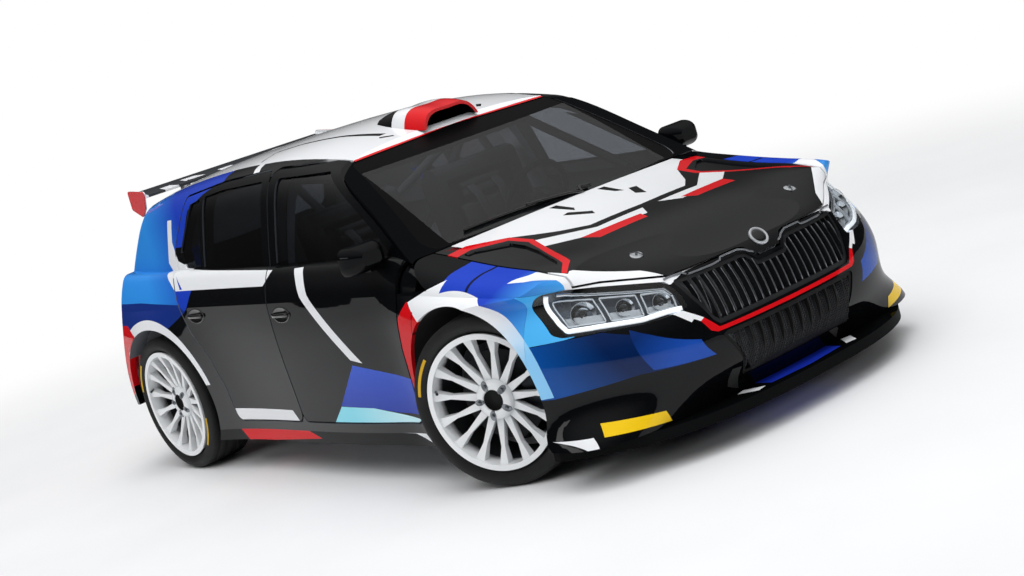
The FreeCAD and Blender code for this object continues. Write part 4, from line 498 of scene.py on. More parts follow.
BUMPER = (
    side("#0d4a96", 1495, 526, 1638, 527, 1738, 521, 1845, 469, 1923, 397, 1937, 329, 1816, 349,
         1570, 333, 1480, 340, fade=("#061f4c", 1580, 400, 1740, 480)),
    side("#1c4aa6", 1800, 505, 1845, 469, 1923, 397, 1937, 329, 1845, 350,
         fade=("#0a2a66", 1900, 380, 1800, 440)),
    side("#4fb4f3", 1400, 530, 1400, 800, 1800, 800, 1738, 535, 1638, 528),
    side(WHITE, 1610, 670, 1610, 750, 1860, 680, 1845, 600),
    side("#8ccaf4", 1300, 650, 1900, 650, 1900, 340, 1300, 340, centre=FRONT_ARCH),
    front(RED, 0, 397, 362, 400, 352, 414, 0, 411),
    front(RED, 362, 400, 386, 412, 408, 455, 392, 463, 348, 412),
    front(WHITE, 392, 463, 408, 455, 428, 470, 440, 462, 532, 556, 518, 562),
    front(WHITE, 880, 187, 848, 122, 842, 122, 832, 187),
    front("#efc51c", 811, 181, 793, 225, 609, 202, 594, 160),
)
BONNET = (
    top(WHITE, 600, 620, 600, 0, 1315, 0, 1300, 256, 1221, 338, 1067, 453, 985, 600),
    top(BLACK, 950, 150, 1085, 135, 1055, 112, 950, 112),
    top(BLACK, 1085, 200, 1205, 140, 1165, 118, 1075, 165),
    top(WHITE, 1179, 465, 1259, 373, 1353, 269, 1364, 41, 1446, 95, 1414, 311, 1383, 381, 1290, 490),
    top(RED, 1383, 381, 1422, 109, 1486, 134, 1466, 363),
    top(RED, 950, 715, 950, 585, 1060, 455, 1179, 440, 1330, 500, 1545, 588, 1600, 660, 1500, 740),
    top(BLACK, 1010, 800, 1005, 605, 1085, 482, 1180, 468, 1315, 520, 1530, 612, 1590, 680, 1500, 800),
    top(WHITE, 1430, 800, 1468, 690, 1607, 664, 1600, 648, 1757, 469, 1825, 420, 1860, 450, 1640, 720,
        1500, 820),
)
ROOF = (
    top(RED, 262, 600, 275, 280, 278, 0, 340, 0, 340, 600),
    top(BLACK, -145, 286, 106, 256, 106, 218, -145, 262),
    top(BLACK, 60, 0, 235, 0, 225, 150, 60, 135),
    top(BLACK, 140, 284, 191, 240, 170, 232, 122, 268),
    top(BLACK, -483, 430, -370, 356, -145, 286, -145, 262, -370, 332, -483, 402),
    top(BLACK, -483, 430, -483, 410, -430, 540, -418, 540),
)
SCOOP = (
    top(WHITE, -200, 300, 150, 300, 150, 0, -200, 0),
    top(BLACK, -200, 300, 45, 300, 45, 0, -200, 0),
)
SPLITTER = (
    top("#1a31ad", 1740, 0, 1740, 205, 1945, 190, 1962, 0),
    top(WHITE, 1875, 270, 1945, 222, 1955, 268, 1888, 310),
)
REAR_WING = (
    top(WHITE, -1620, 460, -1560, 460, -1560, 380, -1620, 400),
    top(WHITE, -1660, 320, -1600, 320, -1600, 200, -1660, 240),
    top(WHITE, -1620, 120, -1560, 120, -1560, 20, -1620, 40),
    top(WHITE, -2000, 555, -1300, 555, -1300, 700, -2000, 700),
    top(RED, -2000, 574, -1300, 574, -1300, 700, -2000, 700),
)


LACQUERS = {
    "body_side_right": Lacquer(
        "quarter lacquer", BLACK, QUARTER + RAIL, inside="#6a6d72",
        dull=(side(BLACK, 240, 1260, 360, 1240, 1000, 860, 1000, 780, 200, 1160),)),
    "roof_panel": Lacquer("roof lacquer", WHITE, ROOF, inside="#6a6d72"),
    "front_wings": Lacquer("wing lacquer", BLACK, WING + WING_TOP, coat=0.42),
    "side_skirts": Lacquer("sill lacquer", BLACK, SILL, coat=0.5),
    "bonnet": Lacquer("bonnet lacquer", BLACK, BONNET, inside="#2b2d31"),
    "front_bumper": Lacquer("bumper lacquer", BLACK, BUMPER, coat=0.55),
    "front_door_right": Lacquer("front door lacquer", BLACK, FRONT_DOOR, coat=0.7, inside="#3a3c40"),
    "rear_door_right": Lacquer("rear door lacquer", BLACK, REAR_DOOR, coat=0.85, inside="#3a3c40"),
    "roof_vent": Lacquer("scoop lacquer", RED, SCOOP, inside="#0c0d0e"),
    "rear_bumper": Lacquer("rear bumper lacquer", BLACK, QUARTER[-1:]),
    "tailgate": Lacquer("tailgate lacquer", BLACK, inside="#3a3c40"),
    "splitter": Lacquer("splitter lacquer", "#08090a", SPLITTER, roughness=0.5, coat=0.1),
    "rear_wing": Lacquer("rear wing lacquer", "#23272d", REAR_WING, roughness=0.4, coat=0.5, shine=0.2),
    "mirror_right": Lacquer("mirror lacquer", BLACK, coat=0.35),
}
PLAINS = (
    Plain("trim plastic", "#101113", "#17181a", 0.45, 0.6, 0.03),
    Plain("inside plastic", "#121315", "#1a1b1d", 0.6, 0.8, 0.05),
    Plain("wheelhouse felt", "#0b0b0c", "#131314", 0.95, 1.5, 0.4),
    Plain("floor paint", "#8d9196", "#7d8186", 0.5, 6.0, 0.05),
    Plain("cage paint", "#1a1c1f", "#212327", 0.42, 1.2, 0.01, coat=0.2),
    Plain("disc iron", "#3a3d41", "#2c2e31", 0.38, 0.4, 0.01, metallic=1.0),
    Plain("dark iron", "#17181a", "#232427", 0.6, 2.0, 0.1, metallic=0.4),
    Plain("steel pipe", "#8b8d90", "#6f6a66", 0.3, 0.5, 0.005, metallic=1.0),
    Plain("tyre rubber", "#0a0a0b", "#101011", 0.7, 0.7, 0.04),
    Glass("window glass", "#bcbfc3"),
    Glass("rear window glass", "#8d9094"),
    Glass("screen glass", "#c6c9cc", (
        front(INK, 0, 1200, 800, 1200, 800, 1500, 0, 1500),
        front(INK, 0, 700, 900, 700, 900, 880, 0, 872),
        front(INK, 600, 800, 750, 800, 750, 1300, 545, 1300))),
    Glass("lamp glass", "#f4f7fa"),
    Plain("silver trim", "#e4e7ea", "#b7bbc0", 0.26, 0.5, 0.004, metallic=0.6),
    Plain("dark chrome", "#a4a8ad", "#6b6f74", 0.28, 0.5, 0.004, metallic=0.75),
    Plain("cut crystal", "#e9eef2", None, 0.10, 3.0, 0.02, metallic=0.55, coat=1.0),
    Plain("tyre paint yellow", "#e0b21c", "#c89c18", 0.7, 1.0, 0.05),
    Plain("light guide red", "#c8262c", None, 0.25, 4.0, 0.01, coat=0.8, glow=0.12),
    Plain("cover paint red", "#8f1d22", "#7d181d", 0.4, 0.5, 0.05, coat=0.2),
    Plain("pipe coating", "#16171a", "#1d1e21", 0.5, 0.8, 0.05),
    Plain("mesh wire", "#1a1b1d", "#232427", 0.5, 0.5, 0.01),
    # painted shade: the black that fills the wheels' bores
    Plain("bore black", "#050505", "#080808", 0.8, 1.0, 0.02),
    Plain("intake plastic", "#070708", "#0b0b0c", 0.8, 0.8, 0.03),
    Plain("reflector", "#e3e7ea", "#cdd2d6", 0.10, 6.0, 0.05, metallic=1.0),
    Plain("lamp housing", "#8b9096", "#4c5156", 0.28, 4.0, 0.05, metallic=0.6),
    Plain("light guide", "#f3f5f7", "#e8ecef", 0.25, 3.0, 0.02, coat=0.6, glow=0.7),
    Plain("gloss black", "#060708", "#0a0b0c", 0.2, 2.0, 0.005, coat=0.8),
    Plain("steel nut", "#8f9397", "#74787c", 0.35, 0.5, 0.01, metallic=1.0),
    Plain("webbing", "#1b1c20", "#26272c", 0.85, 1.2, 0.35),
    Plain("red lamp", "#7c0b10", "#640a0e", 0.12, 3.0, 0.3, coat=1.0),
    Plain("seat cloth", "#17181b", "#202125", 0.9, 1.0, 0.3),
    Plain("seat shell", "#101113", "#18191b", 0.35, 2.0, 0.02, coat=0.5),
)
NODE_FINISHES = {
    "windscreen": "screen glass", "tailgate_glass": "rear window glass",
    "front_door_glass_right": "window glass", "front_door_glass_left": "window glass",
    "rear_door_glass_right": "rear window glass", "rear_door_glass_left": "rear window glass",
    "floor_pan": "floor paint", "cowl": "trim plastic", "front_liners": "wheelhouse felt",
    "headlamps": "lamp glass", "upper_grille": "trim plastic", "lower_grille": "intake plastic",
    "tail_lamps": "red lamp", "exhaust": "steel pipe", "engine": "dark iron", "driveshafts": "dark iron",
    "front_suspension": "dark iron", "rear_suspension": "dark iron", "knuckle_left": "disc iron",
    "knuckle_right": "disc iron", "roll_cage": "cage paint", "seats": "seat shell",
    "dashboard": "inside plastic", "steering_wheel": "inside plastic",
}


# ---------------------------------------------------------------- shapes

def grid_faces(rows: int, columns: int, wrap_rows: bool = False) -> np.ndarray:
    """Quads over a grid of points that closes on itself along its rows, and may do so across them."""
    i = np.arange(rows if wrap_rows else rows - 1)[:, None]
    j = np.arange(columns)[None, :]
    here, after = i * columns, (i + 1) % rows * columns
    k = (j + 1) % columns
    return np.stack([here + j, here + k, after + k, after + j], -1).reshape(-1, 4)


def turned_outwards(verts: np.ndarray, faces: list) -> list:
    """The faces of a closed form, all turned over if they look inwards, as its signed volume tells."""
    volume = 0.0
    for size in {len(f) for f in faces}:
        corners = verts[np.array([f for f in faces if len(f) == size])]
        for k in range(1, size - 1):
            volume += np.einsum("ij,ij->", corners[:, 0], np.cross(corners[:, k], corners[:, k + 1]))
    return faces if volume > 0 else [list(f)[::-1] for f in faces]


def closed_form(rings: np.ndarray) -> Form:
    """Points and faces of a closed form through rings of points, with a fan over each end.

    Args:
        rings: rings by points by three coordinates.

    Returns:
        Its points and faces.
    """
    rings = np.asarray(rings, float)
    rows, columns = rings.shape[:2]
    verts = np.vstack([rings.reshape(-1, 3), rings[0].mean(0), rings[-1].mean(0)])
    here = np.arange(columns)
    after = (here + 1) % columns
    last = (rows - 1) * columns
    faces = grid_faces(rows, columns).tolist()
    faces += np.stack([np.full(columns, rows * columns), after, here], 1).tolist()
    faces += np.stack([np.full(columns, rows * columns + 1), last + here, last + after], 1).tolist()
    return verts, turned_outwards(verts, faces)


def gathered(forms: list[Form]) -> Form:
    """Several forms as one list of points and one of faces."""
    verts, faces, count = [], [], 0
    for points, own in forms:
        verts.append(points)
        faces += [[i + count for i in f] for f in own]
        count += len(points)
    return np.vstack(verts), faces


def unit(vectors: np.ndarray) -> np.ndarray:
    """Vectors made one long."""
    vectors = np.asarray(vectors, float)
    return vectors / np.linalg.norm(vectors, axis=-1, keepdims=True)


def rows(x: np.ndarray | float, y: np.ndarray | float, z: np.ndarray | float) -> np.ndarray:
    """Points from their coordinates, where a single number stands for every point."""
    return np.stack(np.broadcast_arrays(x, y, z), -1).astype(float)


def along_path(points: Pairs | np.ndarray, count: int) -> np.ndarray:
    """Places evenly spread along a broken line."""
    points = np.asarray(points, float)
    length = np.concatenate([[0.0], np.cumsum(np.linalg.norm(np.diff(points, axis=0), axis=1))])
    way = np.linspace(0, length[-1], count)
    return np.stack([np.interp(way, length, column) for column in points.T], 1)


def at(line: Pairs, place: float | np.ndarray) -> float | np.ndarray:
    """The second coordinate of a broken line where its first one is given."""
    return np.interp(place, *np.transpose(line))


def eased(values: np.ndarray, reach: int) -> np.ndarray:
    """Columns of numbers, each the mean of its neighbours up to a reach on either side."""
    kernel = np.ones(2 * reach + 1) / (2 * reach + 1)
    return np.stack([np.convolve(np.pad(column, reach, "edge"), kernel, "valid") for column in values.T], 1)


def ribbon(path: np.ndarray, normals: np.ndarray, width: float, height: float) -> Form:
    """A low strip with rounded edges along a path on a surface.

    Args:
        path: places along its middle.
        normals: the surface's normal at each place, or one for all.
        width: its width; its section is six points across the path.
        height: how far it stands out.

    Returns:
        Its points and faces.
    """
    path = np.asarray(path, float)
    normals = unit(np.broadcast_to(normals, path.shape))
    across = unit(np.cross(unit(np.gradient(path, axis=0)), normals))
    section = np.array([(-0.5, -0.25), (-0.5, 0.55), (-0.32, 1.0), (0.32, 1.0), (0.5, 0.55), (0.5, -0.25)])
    return closed_form(path[:, None] + across[:, None] * (section[:, 0, None] * width)
                       + normals[:, None] * (section[:, 1, None] * height))


def turned(profile: Pairs, centre: np.ndarray, axis: np.ndarray, steps: int = 40,
           stretch: float = 1.0, lean: np.ndarray = UP) -> Form:
    """A profile turned about an axis.

    Args:
        profile: pairs of a radius and a place along the axis.
        centre: the point where the places start.
        axis: the axis's direction.
        steps: the number of points round it.
        stretch: how much wider it is across the lean than along it.
        lean: the direction of its narrow way.

    Returns:
        Its points and faces.
    """
    axis = unit(axis)
    wide = unit(np.cross(lean, axis))
    angle = np.linspace(0, 2 * math.pi, steps, endpoint=False)[:, None]
    ring = np.cos(angle) * wide * stretch + np.sin(angle) * np.cross(axis, wide)
    radius, place = np.array(profile, float).T[..., None, None]
    return closed_form(np.asarray(centre) + place * axis + radius * ring)


def pipe(points: Pairs, radius: float, bend: float = 0.03, steps: int = 14) -> Form:
    """A round pipe along a broken line whose corners are eased over a length."""
    path = along_path(points, 61)
    path = eased(path, max(1, int(bend / np.linalg.norm(path[1] - path[0]))))
    ahead = unit(np.gradient(path, axis=0))
    wide = unit(np.cross(ahead, (0.31, 0.17, 0.93)))
    angle = np.linspace(0, 2 * math.pi, steps, endpoint=False)[None, :, None]
    ring = np.cos(angle) * wide[:, None] + np.sin(angle) * np.cross(wide, ahead)[:, None]
    return closed_form(path[:, None] + radius * ring)


class Skin:
    """The outer surface of some CAD nodes, on which small parts are seated."""

    def __init__(self, frame: dict, *nodes: str) -> None:
        """Gathers the nodes' triangles."""
        forms = []
        for node in nodes:
            mesh = frame["nodes"][node].data
            mesh.calc_loop_triangles()
            points = np.empty(len(mesh.vertices) * 3)
            mesh.vertices.foreach_get("co", points)
            faces = np.empty(len(mesh.loop_triangles) * 3, int)
            mesh.loop_triangles.foreach_get("vertices", faces)
            forms.append((points.reshape(-1, 3), faces.reshape(-1, 3).tolist()))
        self.tree = BVHTree.FromPolygons(*(list(map(tuple, part)) for part in gathered(forms)))

    def meet(self, points: np.ndarray, way: np.ndarray, back: float = 0.6) -> tuple[np.ndarray, np.ndarray]:
        """Where rays meet the surface; a ray that misses takes the nearest place.

        Args:
            points: places near the surface, one row each.
            way: the direction of the rays.
            back: how far before each place its ray starts.

        Returns:
            The places and the normals there.
        """
        way = Vector(way).normalized()
        hits, normals = [], []
        for point in np.asarray(points, float):
            place, normal, index, _ = self.tree.ray_cast(Vector(point) - way * back, way)
            if index is None:
                place, normal, _, _ = self.tree.find_nearest(Vector(point))
            hits.append(place)
            normals.append(-normal if normal.dot(way) > 0 else normal)
        return np.array(hits, float), np.array(normals, float)


@dataclass
class Maker:
    """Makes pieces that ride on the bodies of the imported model, from its CAD nodes and the finishes."""

    frame: dict
    finishes: dict[str, Material]

    def add(self, name: str, finish: str, forms: list[Form], body: str = "chassis",
            smooth: bool = True) -> bpy.types.Object:
        """Makes one object from some forms.

        Args:
            name: the piece's name.
            finish: its finish's name.
            forms: points and faces of its parts.
            body: the body it moves with.
            smooth: whether its faces are shaded smooth.

        Returns:
            The object.
        """
        verts, faces = gathered(forms)
        mesh = bpy.data.meshes.new(name)
        mesh.from_pydata(verts.tolist(), [], faces)
        mesh.validate()
        mesh.polygons.foreach_set("use_smooth", np.full(len(mesh.polygons), smooth))
        obj = bpy.data.objects.new(name, mesh)
        bpy.context.scene.collection.objects.link(obj)
        mesh.materials.append(self.finishes[finish])
        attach(obj, body)
        return obj


# ---------------------------------------------------------------- wheels

@dataclass(frozen=True)
class WheelFrame:
    """A wheel's centre and its outward axle direction."""

    centre: np.ndarray
    axle: np.ndarray

    def ways(self, angle: float | np.ndarray) -> np.ndarray:
        """Directions away from the axle, at angles from the top in radians."""
        angle = np.asarray(angle)[..., None]
        return np.cos(angle) * UP + np.sin(angle) * np.cross(self.axle, UP)


def wheel_frame(end: str, side_name: str) -> WheelFrame:
    """A wheel's frame, with the front wheels as they are steered at rest."""
    s = SIDES[side_name]
    if end == "rear":
        return WheelFrame(np.array([REAR_AXLE_X, s * TRACK / 2, AXLE_Z]), np.array([0.0, s, 0.0]))
    axle = s * np.array([-math.sin(STEER_REST), math.cos(STEER_REST), 0.0])
    return WheelFrame(np.array([FRONT_AXLE_X, s * (TRACK / 2 - SCRUB), AXLE_Z]) + SCRUB * axle, axle)


@dataclass(frozen=True)
class Tread:
    """The section of a tyre: pairs of a distance from its middle and a height over the bead or a depth."""

    radius: float = 0.330
    bead: float = 0.2625
    wall: Pairs = ((0.088, 0.0), (0.098, 0.003), (0.1085, 0.012), (0.1150, 0.026), (0.1165, 0.036))
    shoulder: Pairs = ((0.1120, 0.018), (0.1050, 0.009), (0.0985, 0.0045))
    grooves: tuple[float, ...] = (0.066, 0.024, -0.024, -0.066)
    groove: Pairs = ((0.0055, 0.0), (0.0045, 0.001), (0.0033, 0.0045))
    crown_half: float = 0.095
    crown_drop: float = 0.0028
    sunk: float = 0.0002
    steps: int = 120


@dataclass
class Tyres(Maker):
    """Tyres with a cut tread and rounded shoulders, in place of the plain ones."""

    sizes: Tread = Tread()

    def section(self) -> np.ndarray:
        """The section, outward offset and radius, from the outer bead over the tread to the inner one."""
        t = self.sizes
        wall = [(y, t.bead + rise) for y, rise in t.wall] + [(y, t.radius - drop) for y, drop in t.shoulder]
        groove = t.groove + tuple((-y, depth) for y, depth in t.groove[::-1])
        crown = [(middle + y, t.radius - t.sunk - t.crown_drop * ((middle + y) / t.crown_half) ** 2 - depth)
                 for middle in t.grooves for y, depth in groove]
        return np.array(wall + crown + [(-y, r) for y, r in reversed(wall)])

    def build(self) -> None:
        """Builds the four tyres."""
        section = self.section()[None, :, :, None]
        angle = np.linspace(0, 2 * math.pi, self.sizes.steps, endpoint=False)
        faces = grid_faces(len(angle), section.shape[1], wrap_rows=True)[:, ::-1].tolist()
        for end in ENDS:
            for name in SIDES:
                wheel = wheel_frame(end, name)
                points = (wheel.centre + section[:, :, 0] * wheel.axle
                          + section[:, :, 1] * wheel.ways(angle)[:, None])
                obj = self.add(f"tyre_{end}_{name}_tread", "tyre rubber", [(points.reshape(-1, 3), faces)],
                               f"{end}_wheel_{name}")
                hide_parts(f"tyre_{end}_{name}")


@dataclass(frozen=True)
class FittingSizes:
    """Small parts of a wheel: profiles of a radius and a place along the axle, and where they sit."""

    boss: Pairs = ((0.0200, 0.0610), (0.0772, 0.0610), (0.0765, 0.0700), (0.0735, 0.0790), (0.0660, 0.0850),
                   (0.0470, 0.0880), (0.0425, 0.0872), (0.0405, 0.0845), (0.0400, 0.0640), (0.0200, 0.0635))
    # cup: the black cup in the bore, a sheet of painted shade
    cup: Pairs = ((0.0100, 0.0632), (0.0398, 0.0638), (0.0396, 0.0838), (0.0385, 0.0835), (0.0380, 0.0650),
                  (0.0100, 0.0640))
    nuts: int = 5
    nut_first_deg: float = 18.0
    nut_circle: float = 0.0595
    nut_out: float = 0.0860
    nut_lean: float = 0.16
    pocket: Pairs = ((0.0030, 0.0004), (0.0096, 0.0006), (0.0110, 0.0014), (0.0124, 0.0016), (0.0132, -0.003))
    pocket_stretch: float = 1.6
    nut: Pairs = ((0.0030, 0.0072), (0.0050, 0.0080), (0.0072, 0.0066), (0.0078, -0.002))
    stripes_deg: Pair = (-62.0, 118.0)
    stripe_half_deg: float = 15.0
    stripe_radius: float = 0.2935
    stripe_out: float = 0.1160
    stripe: Pair = (0.0120, 0.0012)
    valve: Pairs = ((0.0040, -0.004), (0.0040, 0.012), (0.0055, 0.013), (0.0055, 0.030), (0.0030, 0.033))
    valve_angle: float = math.atan2(1.0, 0.3)
    valve_radius: float = 0.2395
    valve_out: float = 0.088
    valve_lean: float = 0.8


@dataclass
class WheelFittings(Maker):
    """A black cup in the bore as painted shade, five nuts in oval pockets and the valve of each wheel, and
    the stripes on its tyre.
    """

    sizes: FittingSizes = FittingSizes()

    def wheel(self, end: str, name: str) -> None:
        """Builds the pieces of one wheel."""
        z, wheel = self.sizes, wheel_frame(end, name)
        tail, body = f"{end}_{name}", f"{end}_wheel_{name}"
        self.add(f"boss_{tail}", f"wheel lacquer {end} {name}",
                 [turned(z.boss, wheel.centre, wheel.axle, 60)], body)
        # painted shade: a black cup lines the bore, so that it shows black as if in shade
        self.add(f"bore_{tail}", "bore black", [turned(z.cup, wheel.centre, wheel.axle)], body)
        pockets, nuts, stripes = [], [], []
        for k in range(z.nuts):
            way = wheel.ways(math.radians(z.nut_first_deg + 360 / z.nuts * k))
            spot = wheel.centre + z.nut_circle * way + z.nut_out * wheel.axle
            face = unit(wheel.axle + z.nut_lean * way)
            pockets.append(turned(z.pocket, spot, face, 28, z.pocket_stretch, np.cross(way, wheel.axle)))
            nuts.append(turned(z.nut, spot, face, 6))
        for middle in z.stripes_deg:
            turn = SIDES[name] * middle + np.linspace(-z.stripe_half_deg, z.stripe_half_deg, 31)
            path = wheel.centre + z.stripe_radius * wheel.ways(np.radians(turn)) + z.stripe_out * wheel.axle
            stripes.append(ribbon(path, wheel.axle, *z.stripe))
        self.add(f"tyre_stripes_{tail}", "tyre paint yellow", stripes, body)
        self.add(f"pockets_{tail}", "dark chrome", pockets, body)
        self.add(f"nuts_{tail}", "steel nut", nuts, body, smooth=False)
        way = wheel.ways(z.valve_angle)
        self.add(f"valve_{tail}", "gloss black", [
            turned(z.valve, wheel.centre + z.valve_radius * way + z.valve_out * wheel.axle,
                   wheel.axle - z.valve_lean * way, 14)], body)

    def build(self) -> None:
        """Builds the pieces of the four wheels."""
        for end in ENDS:
            for name in SIDES:
                self.wheel(end, name)


# ---------------------------------------------------------------- lamps and nose

@dataclass(frozen=True)
class LampSizes:
    """A headlamp seen from ahead: distances from the middle and heights along its lower and upper edges.

    Places in it are shares of the way across and up, and depths behind the lens.
    """

    lower: Pairs = ((0.436, 0.514), (0.578, 0.512), (0.700, 0.530), (0.772, 0.540), (0.788, 0.556))
    upper: Pairs = ((0.436, 0.556), (0.450, 0.606), (0.612, 0.653), (0.708, 0.676), (0.774, 0.684))
    start_x: float = 1.75
    house: Pairs = ((0.02, 0.98), (0.03, 0.97))
    house_depths: Pair = (0.050, 0.056)
    guide: Pairs = ((0.02, 0.11), (0.93, 0.11), (0.95, 0.30), (0.95, 0.93))
    guide_depth: float = 0.014
    guide_size: Pair = (0.017, 0.008)
    brow: Pairs = ((0.05, 0.90), (0.88, 0.93))
    brow_depth: float = 0.018
    brow_size: Pair = (0.012, 0.008)
    boxes: Pairs = ((0.06, 0.33), (0.37, 0.62), (0.66, 0.91))
    cells: tuple[int, int] = (9, 5)
    cell_rise: Pair = (0.24, 0.46)
    cell_depths: Pair = (0.030, 0.038)
    cell_peak: float = 0.008
    frame_rise: Pair = (0.22, 0.82)
    frame_depth: float = 0.022
    frame_size: Pair = (0.006, 0.010)
    bowls: tuple = ((0.20, 0.56, 0.030), (0.495, 0.56, 0.030), (0.785, 0.54, 0.040))
    bowl_depth: float = 0.040
    bowl_ahead: float = 1.2
    bowl: Pairs = ((0.40, -0.010), (0.85, -0.004), (1.06, 0.020), (1.05, 0.023), (1.0, 0.022), (0.75, 0.0),
                   (0.35, -0.006), (0.30, -0.004))
    bowl_stretch: float = 1.15
    bulb: Pairs = ((0.004, 0.022), (0.012, 0.018), (0.017, 0.008), (0.018, 0.000), (0.014, -0.006))


@dataclass
class Lamps(Maker):
    """The insides of both headlamps: housing, light guides and reflector bowls with their bulbs."""

    sizes: LampSizes = LampSizes()

    def __post_init__(self) -> None:
        """Finds the lens's surface."""
        self.skin = Skin(self.frame, "headlamps")

    def spot(self, across: np.ndarray, height: np.ndarray, depth: float,
             s: float) -> tuple[np.ndarray, np.ndarray]:
        """Places behind the lens.

        Args:
            across: shares of the way across it.
            height: shares of the way up it.
            depth: the depth along the lens's normal.
            s: the side of the car, -1 or 1.

        Returns:
            The places and the normals there.
        """
        count = 60
        share = np.clip(np.asarray(across, float), 0, 1) * (count - 1)
        edges = (along_path(edge, count).T for edge in (self.sizes.lower, self.sizes.upper))
        low, high = (np.stack([np.interp(share, np.arange(count), column) for column in edge], 1)
                     for edge in edges)
        flat = low + (high - low) * np.asarray(height, float)[:, None]
        hits, normals = self.skin.meet(rows(self.sizes.start_x, -flat[:, 0], flat[:, 1]), -AHEAD)
        return (hits - normals * depth) * (1, -s, 1), normals * (1, -s, 1)

    def slab(self, spread: list[np.ndarray], depths: Pair, s: float,
             peak: np.ndarray | float = 0.0) -> Form:
        """A closed slab that lines the lamp between two depths.

        Args:
            spread: shares of the way across and shares of the way up.
            depths: how deep its front and its back lie behind the lens.
            s: the side of the car, -1 or 1.
            peak: how far the front stands out at each point.

        Returns:
            Its points and faces.
        """
        across, height = np.meshgrid(*spread, indexing="ij")
        front_side, normals = self.spot(across.ravel(), height.ravel(), depths[0], s)
        back_side, _ = self.spot(across.ravel(), height.ravel(), depths[1], s)
        front_side = front_side + normals * np.broadcast_to(peak, across.shape).reshape(-1, 1)
        shape = (*across.shape, 3)
        return closed_form(np.concatenate([front_side.reshape(shape), back_side.reshape(shape)[:, ::-1]], 1))

    def line(self, points: Pairs, count: int, depth: float, size: Pair, s: float) -> Form:
        """A strip along a broken line at a depth."""
        path = along_path(points, count)
        return ribbon(*self.spot(path[:, 0], path[:, 1], depth, s), *size)

    def crystal(self, low: float, high: float, s: float) -> list[Form]:
        """One box of cut crystal: a panel of small pyramids and the frame round it."""
        z = self.sizes
        spans = zip(((low, high), z.cell_rise), z.cells)
        spread = [np.linspace(*span, 2 * count + 1) for span, count in spans]
        odd = [np.arange(len(part)) % 2 for part in spread]
        foot, head = z.frame_rise
        return [self.slab(spread, z.cell_depths, s, np.outer(*odd) * z.cell_peak),
                self.line(((low, foot), (high, foot), (high, head), (low, head), (low, z.cell_rise[0])), 60,
                          z.frame_depth, z.frame_size, s)]

    def build(self) -> None:
        """Builds the pieces of both lamps."""
        z = self.sizes
        house = [np.linspace(*ends, count) for ends, count in zip(z.house, (28, 9))]
        houses, guides, bowls, bulbs, brows, cells = [], [], [], [], [], []
        for s in SIDES.values():
            houses.append(self.slab(house, z.house_depths, s))
            guides.append(self.line(z.guide, 70, z.guide_depth, z.guide_size, s))
            brows.append(self.line(z.brow, 50, z.brow_depth, z.brow_size, s))
            for low, high in z.boxes:
                cells += self.crystal(low, high, s)
            for across, height, radius in z.bowls:
                (centre,), (normal,) = self.spot([across], [height], z.bowl_depth, s)
                axis = unit(normal + z.bowl_ahead * AHEAD)
                bowl = [(share * radius, place) for share, place in z.bowl]
                bowls.append(turned(bowl, centre, axis, 36, z.bowl_stretch))
                bulbs.append(turned(z.bulb, centre, axis, 24))
        for name, finish, forms in (
                ("housings", "lamp housing", houses), ("guides", "light guide", guides),
                ("bowls", "reflector", bowls), ("bulbs", "gloss black", bulbs),
                ("brows", "reflector", brows), ("cells", "cut crystal", cells)):
            self.add(f"lamp_{name}", finish, forms)


@dataclass(frozen=True)
class NoseSizes:
    """Lines on the nose seen from ahead, distance from the middle and height, and profiles of small parts."""

    ray_x: float = 1.9
    strip: Pairs = ((-0.440, 0.622), (-0.300, 0.624), (-0.125, 0.625), (-0.098, 0.616), (-0.042, 0.583),
                    (0.042, 0.583), (0.098, 0.616), (0.125, 0.625), (0.300, 0.624), (0.440, 0.622))
    strip_size: Pair = (0.007, 0.004)
    slat_half: float = 0.404
    slats: int = 22
    slat_low: Pairs = ((0.0, 0.438), (0.330, 0.438), (0.385, 0.535), (0.404, 0.560))
    slat_high: Pairs = ((0.0, 0.552), (0.060, 0.552), (0.098, 0.590), (0.404, 0.594))
    slat_size: Pair = (0.0032, 0.0014)
    slat_normal: Point = (1.0, 0.0, 0.15)
    mesh_x: float = 1.92
    mesh_high: Pairs = ((0.0, 0.376), (0.300, 0.378), (0.312, 0.372))
    mesh_low: Pairs = ((0.0, 0.222), (0.262, 0.222), (0.280, 0.272), (0.312, 0.366))
    probe_half: float = 0.25
    probe_rise: Pair = (0.23, 0.37)
    mesh_half: float = 0.306
    mesh_rise: Pair = (0.229, 0.374)
    mesh_step: float = 0.0085
    mesh_size: Pair = (0.0026, 0.003)
    mesh_offsets: Pair = (0.002, -0.0005)
    bars_share: float = 0.55
    badge_height: float = 0.637
    ring: Pairs = ((0.029, 0.004), (0.032, 0.0065), (0.036, 0.0065), (0.0385, 0.004), (0.039, -0.004))
    face: Pairs = ((0.004, 0.0075), (0.018, 0.0065), (0.0285, 0.0048), (0.0292, 0.003))
    pin_place: Pair = (1.690, 0.411)
    plate: Pairs = ((0.006, 0.0016), (0.020, 0.0018), (0.0235, 0.0008), (0.024, -0.002))
    pin: Pairs = ((0.002, 0.013), (0.0045, 0.012), (0.005, 0.001))
    clip_half: float = 0.026
    clip_rise: Pair = (0.007, 0.003)
    clip_size: Pair = (0.0032, 0.0028)
    clip_way: Pair = (0.5, 0.85)


